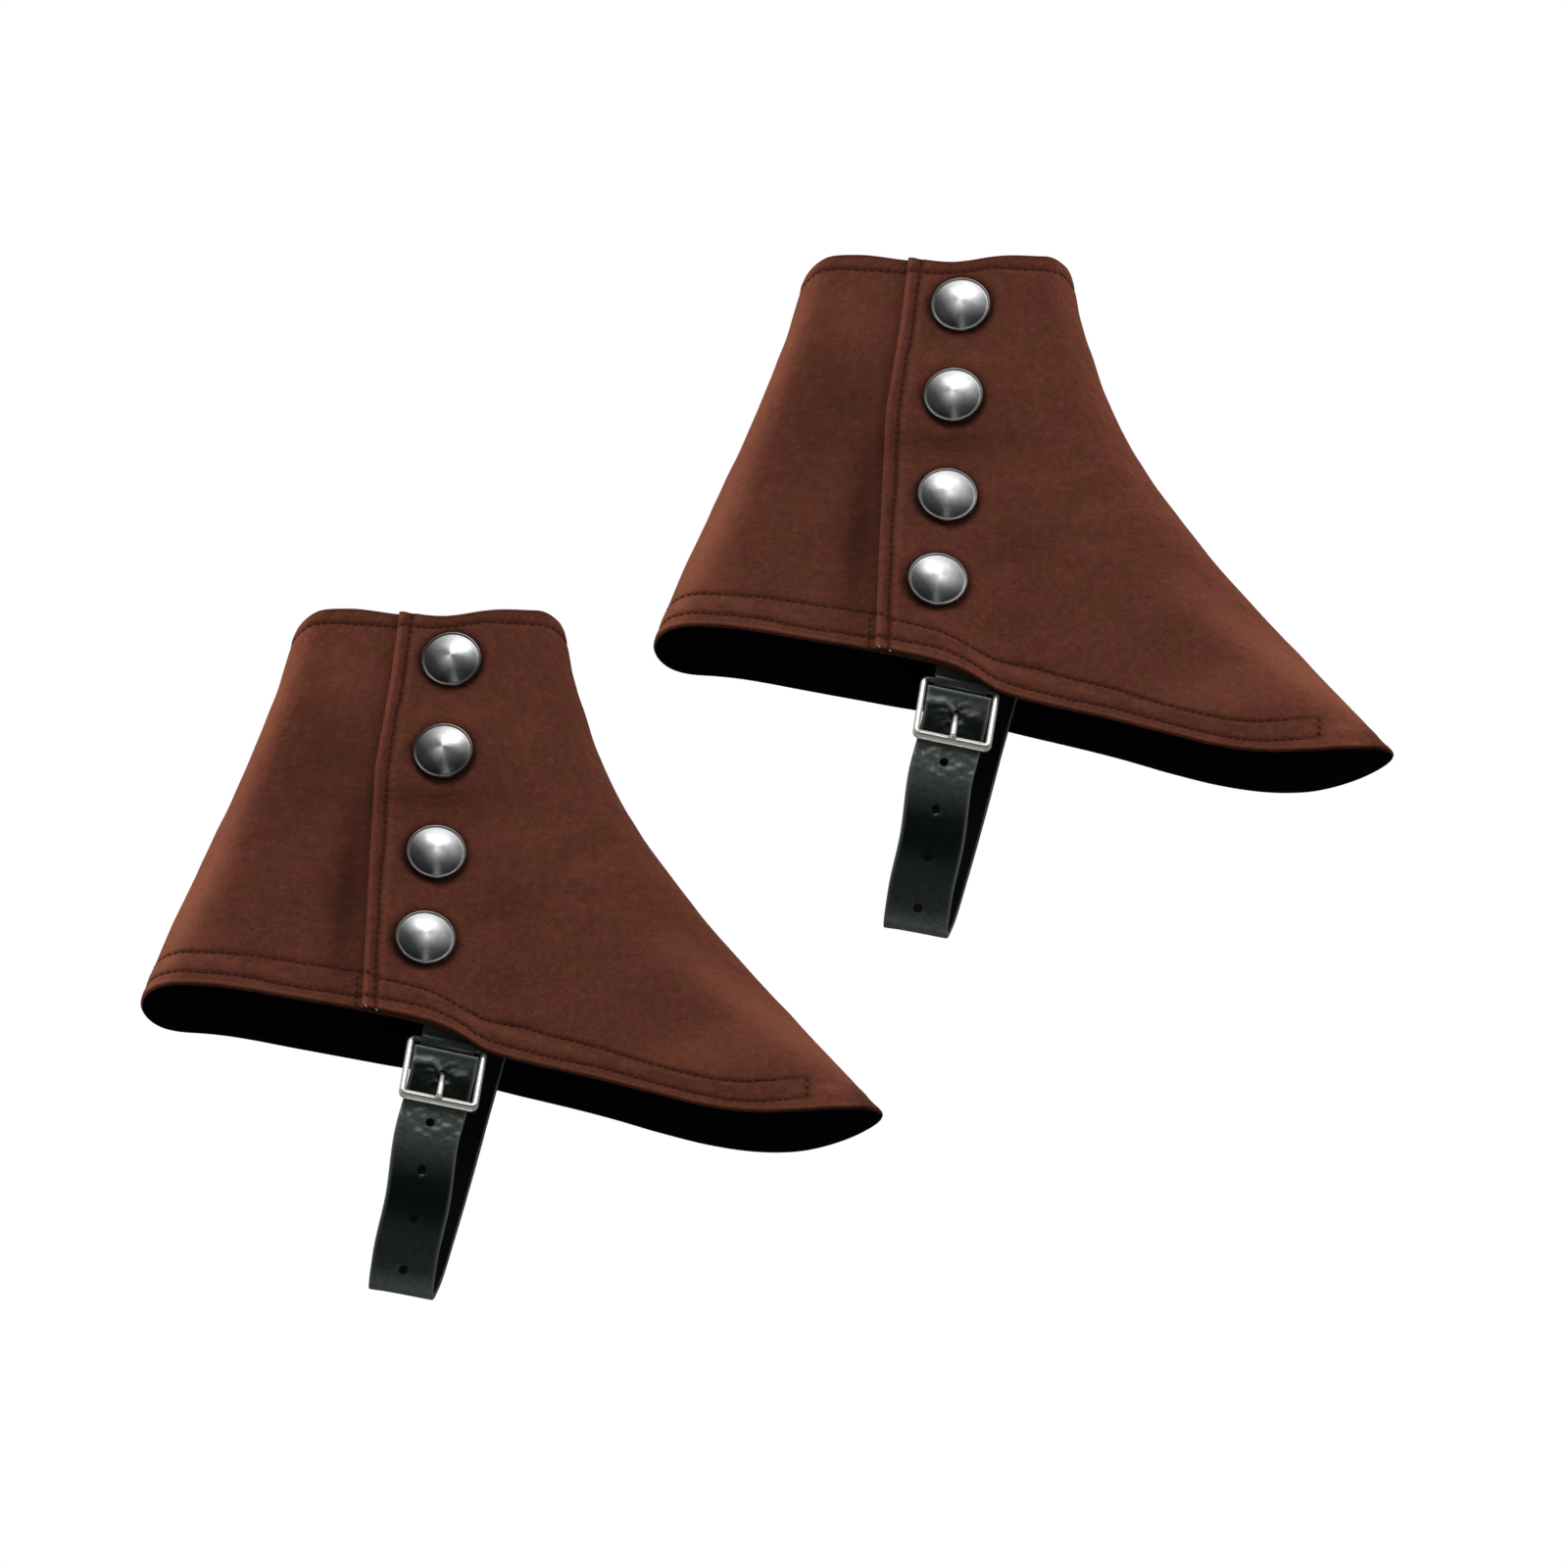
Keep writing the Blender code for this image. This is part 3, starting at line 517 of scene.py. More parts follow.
def ribbon_faces(rings, sides):
    """Faces of a ribbon or pin made of rings of points, its two ends first."""
    last = (rings - 1) * sides
    return [tuple(range(sides)), tuple(reversed(range(last, last + sides)))] + [
        (a + here, a + sides + here, a + sides + (here + 1) % sides, a + (here + 1) % sides)
        for a in range(0, last, sides) for here in range(sides)]


def circle(sides):
    turns = 2 * pi * np.arange(sides) / sides
    return np.cos(turns), np.sin(turns)


def joined(shapes):
    """One list of vertices and one of faces from several shapes."""
    vertices, faces, offset = [], [], 0
    for shape_vertices, shape_faces in shapes:
        vertices.append(shape_vertices)
        faces.extend(tuple(offset + i for i in face) for face in shape_faces)
        offset += len(shape_vertices)
    return np.concatenate(vertices), faces


# Felt panels and their sewing

class FeltPanel:
    """Fine surface of one panel: grid, normals, distances from its edges, and its two faces."""

    def __init__(self, side, columns_of, seams, radii):
        self.side, self.radii, self.raised = side, radii, 0
        self.grid = side_grid(side, fine_heights(), columns_of)
        self.grid[:, list(seams), 1] = side * SEAM_CLOSE
        self.normals = grid_normals(self.grid, side, seams)
        down, along = (np.linalg.norm(np.diff(self.grid, axis=axis), axis=2) for axis in (0, 1))
        self.top = np.concatenate([np.zeros_like(down[:1]), np.cumsum(down, axis=0)])
        self.first = np.concatenate([np.zeros_like(along[:, :1]), np.cumsum(along, axis=1)], axis=1)
        self.hem, self.last = self.top[-1] - self.top, self.first[:, -1:] - self.first
        x = self.grid[..., 0]
        self.grooves = sum(bell(self.hem - row_line(row, x), GROOVE_HALF) for row in HEM_ROWS)
        if side < 0:
            self.grooves *= smoothstep((ROW_END + 0.8 - x) / 0.8)
        self.grooves += bell(self.top - row_line(TOP_ROW, x), GROOVE_HALF)

    def shape(self):
        grid, hem, top = self.grid, self.hem, self.top
        radii = (EDGE_RADIUS, EDGE_RADIUS, *self.radii)
        drop = sum(map(round_off, (top, hem, self.first, self.last), radii))
        drop = np.minimum(drop, EDGE_RADIUS)
        middle = (self.raised + BROAD_HEIGHT * unevenness(grid, *BROAD_WAVES)
                  + FINE_HEIGHT * unevenness(grid, *FINE_WAVES)
                  - fold_depth(FINE_FOLDS, self.side, grid[..., 0], grid[..., 2])
                  + EDGE_HEIGHT * unevenness(grid, *EDGE_WAVES)
                  * np.maximum(swells(hem, HEM_UNEVEN), swells(top, TOP_UNEVEN)))
        puff = swells(hem, HEM_PUFFS) + swells(top, TOP_PUFFS)
        self.groove = np.minimum(self.grooves, 1)
        outside = float(self.side < 0)
        self.aside, self.above = (outside * offset for offset in button_offsets(grid))
        away = np.hypot(self.aside, self.above)
        self.near = outside * (away < BUTTON_RADIUS + CONTACT_REACH)
        self.press = outside * bell(away - BUTTON_RADIUS - 0.3, 2)
        lift = middle - drop + puff - GROOVE_DEPTH * self.groove - DIMPLE_DEPTH * self.press
        self.outer = grid + self.normals * lift[..., None]
        self.inner = grid + self.normals * (middle - WALL + drop)[..., None]
        return self


def front_felt():
    """Front panel: raised over the underlap, with a row of stitches along its edge."""
    panel = FeltPanel(-1, front_columns, (-1,), (EDGE_RADIUS, SEAM_RADIUS))
    ahead, hem = panel.first, panel.hem
    panel.raised = (WALL + SEAM_GAP) * (1 - smoothstep((ahead - UNDERLAP - 0.5) / STEP_BLEND))
    panel.raised += swells(ahead, CLOSURE_PUFFS)
    panel.grooves += bell(ahead - CLOSURE_ROW - wander(panel.grid[..., 2]), GROOVE_HALF)
    panel.grooves += (bell(panel.grid[..., 0] - ROW_END, GROOVE_HALF)
                      * smoothstep(hem - 4.6) * smoothstep(16.2 - hem))
    return panel.shape()


def felt_mesh(name, panel):
    rows, columns = panel.grid.shape[:2]
    outer, inner, edge = wall_faces(rows, columns)
    vertices = np.concatenate([panel.outer.reshape(-1, 3), panel.inner.reshape(-1, 3)])
    mesh = make_mesh(name, vertices, outer + inner + edge)
    hem_points = set(range((rows - 1) * columns, rows * columns))
    at_hem = [int(len(hem_points.intersection(face)) == 2) for face in edge]
    mesh.polygons.foreach_set("material_index", [0] * len(outer) + [1] * len(inner) + at_hem)
    side, hem, first, x = panel.side, panel.hem, panel.first, panel.grid[..., 0]
    toe_start, toe_length = TOE_SHADE
    # Painted shade in stitch grooves, button dimples, at the toe, along the hem, beside the closure and
    # over troughs; painted highlights on the hem puffs, along the hem and closure edges and the heel and
    # front edges
    shade = (-GROOVE_SHADE * panel.groove - PRESS_SHADE * panel.press**2
             - TOE_DARKNESS * smoothstep((x - toe_start) / toe_length)
             - fold_depth(PAINTED_SHADE_AND_LIGHT, side, x, panel.grid[..., 2])
             + swells(hem, ROWS_SHINE) * unevenness(panel.grid, *ROWS_SHINE_WAVES)
             - HEM_DARKNESS * bell(hem, OUTER_HEM if side < 0 else INNER_HEM))
    if side < 0:
        shade += swells(hem, HEM_SHINE)
    if panel.radii[0] == EDGE_RADIUS:
        shade += swells(first, CLOSURE_SHINE)
    elif side < 0:
        shade -= swells(first - first[:, SHOWN_COLUMNS - 1:SHOWN_COLUMNS], CLOSURE_SHADOW)
    # Painted shade along the top edge of the opening, and each point's offset from the nearest button for
    # its painted contact shadow
    fields = {"shade": shade, "rim": bell(panel.top, 2.2), "aside": panel.aside,
              "above": panel.above, "near": panel.near}
    add_values(mesh, **{key: [value, np.zeros_like(shade)] for key, value in fields.items()})
    return mesh


def path_on(panel, lines):
    """Path and normals of a row of stitches; each line is a place, distances and a grid index."""
    path, normals = ([read_at([place], reach, values[index])[0] for place, reach, index in lines]
                     for values in (panel.outer, panel.normals))
    return np.array(path), unit(normals)


def row_on(panel, margin, row, columns):
    """Row of stitches along the top or the hem."""
    lines = []
    for c in range(columns):
        order = np.argsort(margin[:, c])
        x = panel.grid[order[0], c, 0]
        if panel.side > 0 or x <= ROW_END:
            lines.append((row_line(row, x), margin[order, c], (order, c)))
    return path_on(panel, lines)


def column_on(panel, distance, margin):
    """Row of stitches down the points at one distance along the grid's rows."""
    return path_on(panel, [(distance + wander(panel.grid[r, 0, 2]), margin[r], r)
                           for r in range(len(margin))])


def stitch_shape(rings=7, sides=6):
    """One stitch along +X: a short thread whose two ends dive into the cloth."""
    c, s = circle(sides)
    vertices = []
    for t in np.linspace(-1, 1, rings):
        radius = THREAD_RADIUS * (1 - 0.75 * t**4)
        vertices.append(np.column_stack([np.full(sides, t * STITCH_LENGTH / 2), radius * c,
                                         radius * s + 0.12 - 0.42 * t**2]))
    return np.concatenate(vertices), ring_faces(rings, sides)


def stitches_along(path, normals, rng, start=1.4):
    """Stitches a pitch apart along a path on the cloth, none quite like the next."""
    shape, faces = stitch_shape()
    reach = arc_length(path)
    ahead = unit(np.gradient(path, axis=0))
    made = []
    place = start + STITCH_LENGTH / 2
    while place < reach[-1] - STITCH_LENGTH / 2:
        middle, normal, way = (read_at([place], reach, values)[0] for values in (path, normals, ahead))
        normal, way = unit(normal), unit(way + rng.normal(0, 0.03, 3))
        across = unit(np.cross(normal, way))
        grown = shape * np.array([rng.uniform(0.92, 1.08), 1, rng.uniform(0.85, 1.1)])
        made.append((middle + grown @ np.array([np.cross(across, normal), across, normal]), faces))
        place += STITCH_PITCH * rng.uniform(0.97, 1.03)
    return made


def sew(cover, felts, thread):
    """All the rows of stitches of one cover, joined for each panel."""
    rng = np.random.default_rng(21)
    for piece, panel in felts.items():
        columns = SHOWN_COLUMNS if piece == "back_felt" else panel.grid.shape[1]
        made = stitches_along(*row_on(panel, panel.top, TOP_ROW, columns), rng)
        for row in HEM_ROWS:
            made += stitches_along(*row_on(panel, panel.hem, row, columns), rng)
        if piece == "front_felt":
            made += stitches_along(*column_on(panel, CLOSURE_ROW, panel.first), rng)
            path, normals = column_on(panel, ROW_END, panel.grid[..., 0])
            hem = panel.hem[:, np.argmin(np.abs(panel.grid[-1, :, 0] - ROW_END))]
            low, high = (row_line(row, ROW_END) for row in HEM_ROWS)
            upright = (hem > low) & (hem < high)
            made += stitches_along(path[upright], normals[upright], rng, 0.4)
        if piece == "back_felt":
            ahead = panel.first - panel.first[:, columns - 1:columns]
            path, normals = column_on(panel, TACK_ROW, ahead)
            low = panel.hem[:, columns - 1] < TACK_HEIGHT
            made += stitches_along(path[low], normals[low], rng)
        name = f"{cover}_{piece}_stitches"
        add_piece(name, make_mesh(name, *joined(made), outwards=False), cover, None, "felt", thread)


def thread_ends(cover, panel, material):
    """Two pale thread ends where the closure meets the hem."""
    shapes = []
    for first, up, length in THREAD_ENDS:
        column = int(np.argmin(np.abs(panel.first[-1] - first)))
        row = int(np.argmin(np.abs(panel.hem[:, column] - up)))
        foot, normal = panel.outer[row, column], panel.normals[row, column]
        path = [foot - normal * 0.3, foot + normal * 0.35 + np.array([0.2, 0, -0.2]),
                foot + normal * 0.3 + np.array([length * 0.4, 0, -length * 0.5])]
        shapes.append(tube(through(path, np.linspace(0, 1, 8)), np.full(8, THREAD_END_RADIUS), sides=6))
    name = f"{cover}_thread_ends"
    add_piece(name, make_mesh(name, *joined(shapes)), cover, None, "felt", material)


# Seats on the solids' own grid

class Face:
    """Outer face of one side in the solids' grid."""

    def __init__(self, side):
        self.grid = side_grid(side, np.linspace(0, 1, ROWS + 1), solid_columns)
        self.normals = grid_normals(self.grid, side)

    def at(self, x, z):
        """Point and normal over the place (x, z) of the side view."""
        spread = (self.grid[..., 0] - x)**2 + (self.grid[..., 2] - z)**2
        near = np.unravel_index(np.argsort(spread, axis=None)[:4], spread.shape)
        share = (1 / (spread[near] + 1e-6))[:, None]
        share /= share.sum()
        normal = unit((self.normals[near] * share).sum(axis=0))
        middle = (self.grid[near] * share).sum(axis=0)
        depth = middle[1] - (normal[0] * (x - middle[0]) + normal[2] * (z - middle[2])) / normal[1]
        return np.array([x, depth, z]), normal


def arc(centre, radius, start, end, steps):
    """Points (outwards, down) on an arc; angle 0 is outwards and 90 degrees is up."""
    angles = np.radians(np.linspace(start, end, steps + 1))
    return [(centre[0] + radius * cos(a), centre[1] - radius * sin(a)) for a in angles]


# Buttons

def dome_shape(rings=16, segments=72):
    """Rolled rim and dome over it, turned round +Z and closed at the foot and at the top."""
    rise = BUTTON_HEIGHT - BUTTON_RIM
    sphere = (DOME_RADIUS**2 + rise**2) / (2 * rise)
    widest = asin(DOME_RADIUS / sphere)
    roll = (BUTTON_RADIUS - DOME_RADIUS) / 2
    profile = [(BUTTON_RADIUS - inset, height) for inset, height in BUTTON_FOOT]
    profile += [(BUTTON_RADIUS - roll + roll * cos(angle),
                 BUTTON_RIM - 0.05 + roll * sin(angle))
                for angle in np.radians(np.arange(-60, 150, 30))]
    for ring in range(rings):
        angle = widest * (1 - ring / rings)
        profile.append((sphere * sin(angle), BUTTON_RIM + sphere * cos(angle)
                        - (sphere - rise) - 0.12 * bell(ring, 1.2)))
    c, s = circle(segments)
    vertices = [np.column_stack([radius * c, radius * s, np.full(segments, height)])
                for radius, height in profile]
    vertices.append([(0, 0, BUTTON_HEIGHT)])
    top = len(profile) * segments
    *walls, foot, _ = ring_faces(len(profile), segments)
    cap = [(top - segments + turn, top - segments + (turn + 1) % segments, top)
           for turn in range(segments)]
    return np.concatenate(vertices), [*walls, *cap, foot]


def add_buttons(cover, face, material):
    """Domes just clear of the front panel below the whole of their backs."""
    shape = dome_shape()
    for number, (x, z) in enumerate(BUTTON_PLACES, start=1):
        name = f"{cover}_dome_{number}"
        piece = add_piece(name, make_mesh(name, *shape), cover, f"{cover}_button_{number}",
                          "dome_metal", material)
        point, normal = face.at(x, z)
        proud = max([0] + [(face.at(x + BUTTON_RADIUS * c, z + BUTTON_RADIUS * s)[0] - point) @ normal
                             for c, s in zip(*circle(8))])
        point = point + normal * (proud + WALL + 2 * SEAM_GAP)
        across = unit(np.cross([0, 0, 1], normal))
        axes = Matrix(np.array([across, np.cross(normal, across), normal]).T.tolist()).to_4x4()
        piece.matrix_world = Matrix.Translation((Vector(COVERS[cover]) + Vector(point)) * MM) @ axes


# Buckle

class BuckleFrame:
    """Directions at the buckle: width to the toe, outwards, and down the strap."""

    def __init__(self, face):
        x, z = BAR_PLACE
        point, normal = face.at(x, z + TAB_RISE)
        yaw = atan2(normal[0], -normal[1])
        self.width = np.array([cos(yaw) * cos(STRAP_TILT),
                               sin(yaw) * cos(STRAP_TILT), -sin(STRAP_TILT)])
        self.out = np.array([sin(yaw), -cos(yaw), 0])
        self.down = np.cross(self.width, self.out)
        self.bar = np.array([x, point[1], z])
        room = []
        for across in (-TAB_WIDTH / 2, 0, TAB_WIDTH / 2):
            for down in (-TAB_RISE, -TAB_RISE / 2, 0):
                place = self.at(across, 0, down)
                point, normal = face.at(place[0], place[2])
                room.append((point - normal * WALL - self.bar) @ self.out)
        self.bar += self.out * (min(room) - TAB_CLEARANCE - TAB_THICK - SEAM_GAP / 2)

    def at(self, across, outwards, down):
        return self.bar + self.width * across + self.out * outwards + self.down * down


def tube(path, radii, sides=12):
    """Round wire along a path, with a radius at each point."""
    path = np.asarray(path, float)
    ahead = unit(np.gradient(path, axis=0))
    bend = np.cross(ahead[0], path[len(path) // 3] - path[0])
    plane = unit(bend if np.linalg.norm(bend) > 1e-6 else np.cross(ahead[0], [1, 0, 0]))
    c, s = circle(sides)
    vertices = []
    for point, way, radius in zip(path, ahead, radii):
        first = unit(plane - way * (plane @ way))
        vertices.append(point + radius * (np.outer(c, first) + np.outer(s, np.cross(way, first))))
    return np.concatenate(vertices), ring_faces(len(path), sides)


def frame_outline():
    """Centre line of the buckle in its plane: across, down."""
    half, corner = FRAME_WIDTH / 2, FRAME_CORNER
    points = []
    for across, down, start in ((half, 0, 90), (half, FRAME_LENGTH, 0),
                                (-half, FRAME_LENGTH, -90), (-half, 0, 180)):
        centre = across - copysign(corner, across), down + (-corner if down else corner)
        points += arc(centre, corner, start, start - 90, 10)
    points = np.array(points + points[:1])
    reach = arc_length(points)
    fine = np.arange(0, reach[-1], 0.45)
    return np.column_stack([np.interp(fine, reach, points[:, axis]) for axis in range(2)])


def bar_section(down, sides=28):
    """Share of the bottom bar's own section at a distance down, and the section of the wire.

    The section is round, or at share 1 flat-backed with two bevels that meet in front.
    """
    share = smoothstep((down - FRAME_LENGTH + FRAME_CORNER) / FRAME_CORNER)
    c, s = circle(sides)
    power = np.where(s > 0, 1.22, 3.2)
    flat_part = np.column_stack([BOTTOM_BAR_HALF * np.sign(c) * np.abs(c)**(2 / power),
                                 BAR_RADIUS * np.sign(s) * np.abs(s)**(2 / power)])
    return share, np.column_stack([c, s]) * BAR_RADIUS * (1 - share) + flat_part * share


def add_buckle_frame(cover, frame, material):
    lean = asin(BOTTOM_BAR_OUT / FRAME_LENGTH)
    plane_down = frame.down * cos(lean) + frame.out * sin(lean)
    plane_out = frame.out * cos(lean) - frame.down * sin(lean)
    outline = frame_outline()
    ahead = unit(np.roll(outline, -1, axis=0) - np.roll(outline, 1, axis=0))
    vertices, dull = [], []
    for (across, down), way in zip(outline, ahead):
        share, profile = bar_section(down)
        centre = frame.bar + frame.width * across + plane_down * down
        outward = frame.width * -way[1] + plane_down * way[0]
        if outward @ (centre - frame.bar - plane_down * FRAME_LENGTH / 2) < 0:
            outward = -outward
        notch = share * 0.55 * np.clip(1 - abs(across) / 1.6, 0, 1)
        for flat, proud in profile:
            # Painted shade over the top bar and its corners under the hem, and a painted dark line along
            # the front of the bottom bar
            dull.append(max(1 - smoothstep((down - 0.5) / 2),
                            0.75 * share * bell(flat - 0.35, 0.5) * (proud > 0)))
            proud -= notch if proud > 0.1 and flat < 0.6 else 0
            vertices.append(centre + outward * flat + plane_out * proud)
    mesh = make_mesh("frame", vertices, ring_faces(len(outline), len(profile), closed=True))
    mesh.set_sharp_from_angle(angle=radians(FRAME_SHARP))
    add_values(mesh, dull=dull)
    add_piece(f"{cover}_frame", mesh, cover, f"{cover}_buckle_frame", "nickel", material)


def add_prong(cover, frame, material):
    """Hook round the top bar, behind the strap, through its hole and up to the bottom bar."""
    lean = asin(BOTTOM_BAR_OUT / FRAME_LENGTH)
    rest = WIRE_GAP + PRONG_RADIUS
    hook = arc((0, 0), BAR_RADIUS + rest, 84, 250, 8)
    tip = (BOTTOM_BAR_OUT + (BAR_RADIUS + rest) * cos(radians(50)),
           FRAME_LENGTH * cos(lean) - (BOTTOM_BAR_HALF + rest) * sin(radians(50)))
    middle = STRAP_FRONT - STRAP_THICK / 2
    behind = STRAP_FRONT - STRAP_THICK - rest
    run = [(behind - 0.1, 5.5), (behind, PRONG_HOLE - 3.2), (middle, PRONG_HOLE),
           (middle + 1.7, PRONG_HOLE + 2.6), tip, (tip[0] + 0.35, tip[1] + 1.9)]
    path = [frame.at(0, out, down) for out, down in through(hook + run, np.linspace(0, 1, 90))]
    from_tip = arc_length(path)[-1] - arc_length(path)
    stout = 1 + 0.24 * smoothstep((9 - from_tip) / 4)
    blunt = np.sqrt(np.clip(1 - np.clip(1 - from_tip / 0.9, 0, 1)**2, 0.02, 1))
    mesh = make_mesh("prong", *tube(path, stout * PRONG_RADIUS * blunt, sides=16))
    add_piece(f"{cover}_prong", mesh, cover, f"{cover}_buckle_prong", "nickel", material)


# Leather

def cut_shape(piece, shapes):
    """Cut closed shapes away from a piece and keep the result as its mesh."""
    cutter = add_object("cutter", make_mesh("cutter", *joined(shapes)))
    cutter.location = piece.location
    difference = piece.modifiers.new("cut", "BOOLEAN")
    difference.operation = "DIFFERENCE"
    difference.solver = "EXACT"
    difference.object = cutter
    bpy.context.view_layer.update()
    graph = bpy.context.evaluated_depsgraph_get()
    mesh = bpy.data.meshes.new_from_object(piece.evaluated_get(graph), depsgraph=graph)
    piece.modifiers.clear()
    piece.data = mesh
    mesh.set_sharp_from_angle(angle=radians(LEATHER_SHARP))
    bpy.data.objects.remove(cutter, do_unlink=True)


def tab_outline(steps=28):
    """Outline (outwards, down) of the tab's two layers, folded round the top bar."""
    inside, slit = BAR_RADIUS + WIRE_GAP, SEAM_GAP / 2
    outside = inside + TAB_THICK
    open_in = degrees(acos(slit / inside))
    open_out = degrees(acos((slit + TAB_THICK) / outside))
    return [(slit + TAB_THICK, -TAB_RISE), *arc((0, 0), outside, open_out, -180 - open_out, steps),
            (-slit - TAB_THICK, -TAB_RISE), (-slit, -TAB_RISE),
            *arc((0, 0), inside, -180 - open_in, open_in, steps), (slit, -TAB_RISE)]


def ribbon(frame, outline, half_widths, insets):
    """Closed outline carried across the strap's width, drawn in a little towards its two sides."""
    outline = np.asarray(outline, float)
    after = np.roll(outline, -1, axis=0)
    ahead = unit(after - np.roll(outline, 1, axis=0))
    area = np.sum(outline[:, 0] * after[:, 1] - outline[:, 1] * after[:, 0])
    inward = np.column_stack([-ahead[:, 1], ahead[:, 0]]) * (1 if area > 0 else -1)
    rings = [(-half, inset) for half, inset in zip(half_widths, insets)]
    rings += [(half, inset) for half, inset in zip(half_widths[::-1], insets[::-1])]
    vertices = [frame.at(across, *(point + way * inset))
                for across, inset in rings for point, way in zip(outline, inward)]
    return np.array(vertices), ribbon_faces(len(rings), len(outline))


def add_tab(cover, frame, material):
    half = TAB_WIDTH / 2
    mesh = make_mesh("tab", *ribbon(frame, tab_outline(), (half, half - 0.12, half - 0.4),
                                    (0.32, 0.1, 0)))
    count = len(mesh.vertices)
    # Painted reflection over the whole tab
    add_values(mesh, edge=np.zeros(count), glint=np.full(count, 0.2), worn=np.full(count, 0.35))
    piece = add_piece(f"{cover}_tab", mesh, cover, f"{cover}_strap_tab", "strap_leather", material)
    reach = BAR_RADIUS + WIRE_GAP + TAB_THICK + 1
    block = [(-reach, -reach), (SLOT_FRONT, -reach), (SLOT_FRONT, reach), (-reach, reach)]
    cut_shape(piece, [ribbon(frame, block, (TAB_SLOT / 2,), (0,))])


def inside_point(face, x, z):
    """Point inside a side's wall that keeps the whole width of the strap clear of the cloth."""
    point, normal = face.at(x, z)
    room = []
    for beside in (-STRAP_WIDTH / 2, 0, STRAP_WIDTH / 2):
        for above in (-4, 4):
            beyond, beyond_normal = face.at(x + beside, z + above)
            room.append((beyond - beyond_normal * WALL - point) @ normal)
    return point + normal * (min(room) - TAB_CLEARANCE), normal


class StrapLine:
    """Centre line of the strap's outward face, tip to sewn end, with its directions."""

    def __init__(self, frame, far_face, count=230):
        near = [frame.at(0, STRAP_FRONT, STRAP_TIP), frame.at(-0.1, STRAP_FRONT, PRONG_HOLE),
                frame.at(-0.6, BOTTOM_BAR_OUT - BAR_RADIUS - WIRE_GAP, FRAME_LENGTH),
                frame.at(-1.6, 1.4, FRAME_LENGTH + 13)]
        sewn = [inside_point(far_face, x, z) for x, z in SEWN_PLACES]
        points = np.array([*near, *STRAP_LOOP, *(point for point, _ in sewn)])
        fractions = np.concatenate([[0, 0.0006, 0.0018], np.linspace(0.004, 0.997, count),
                                    [0.9985, 1]])
        self.line = through(points, fractions)
        far_width = unit(np.cross(sewn[1][1], unit(sewn[-1][0] - sewn[0][0])))
        share = smoothstep(-0.35 + 1.7 * fractions)[:, None]
        self.ahead = unit(np.gradient(self.line, axis=0))
        width = frame.width * (1 - share) + far_width * share
        self.width = unit(width - self.ahead * (width * self.ahead).sum(axis=1)[:, None])
        inward = unit(np.cross(self.ahead, self.width))
        self.inward = inward if inward[0][1] > 0 else -inward
        self.reach = arc_length(self.line)
        self.holes = [PRONG_HOLE - STRAP_TIP + number * HOLE_PITCH for number in range(HOLE_COUNT)]


def strap_profile(columns=41):
    """Section of the strap: across, depth, and closeness to a cut edge, round the whole ribbon."""
    half, radius = STRAP_WIDTH / 2, 0.45
    flat = np.linspace(-half + radius, half - radius, columns)

    def corner(side, depth, start, count):
        angles = np.radians(start + 22.5 * np.arange(1, count + 1))
        return [(side * (half - radius) + radius * sin(angle), depth - radius * cos(angle), 1)
                for angle in angles]

    return np.array([(across, 0, max(bell(half - abs(across), 1.1) - 0.2, 0)) for across in flat]
                    + corner(1, radius, 0, 4) + corner(1, STRAP_THICK - radius, 90, 3)
                    + [(across, STRAP_THICK, 0) for across in flat[::-4]]
                    + corner(-1, STRAP_THICK - radius, 180, 4) + corner(-1, radius, 270, 3))


def ridge_height(across, along):
    """Height of the ridge in the leather above the hole in use."""
    ridge = through(STRAP_RIDGE, np.linspace(0, 1, 40))
    distance = np.hypot(across[..., None] - ridge[:, 0], (along + STRAP_TIP)[..., None] - ridge[:, 1])
    return bell(np.min(distance, axis=-1), RIDGE_HALF)


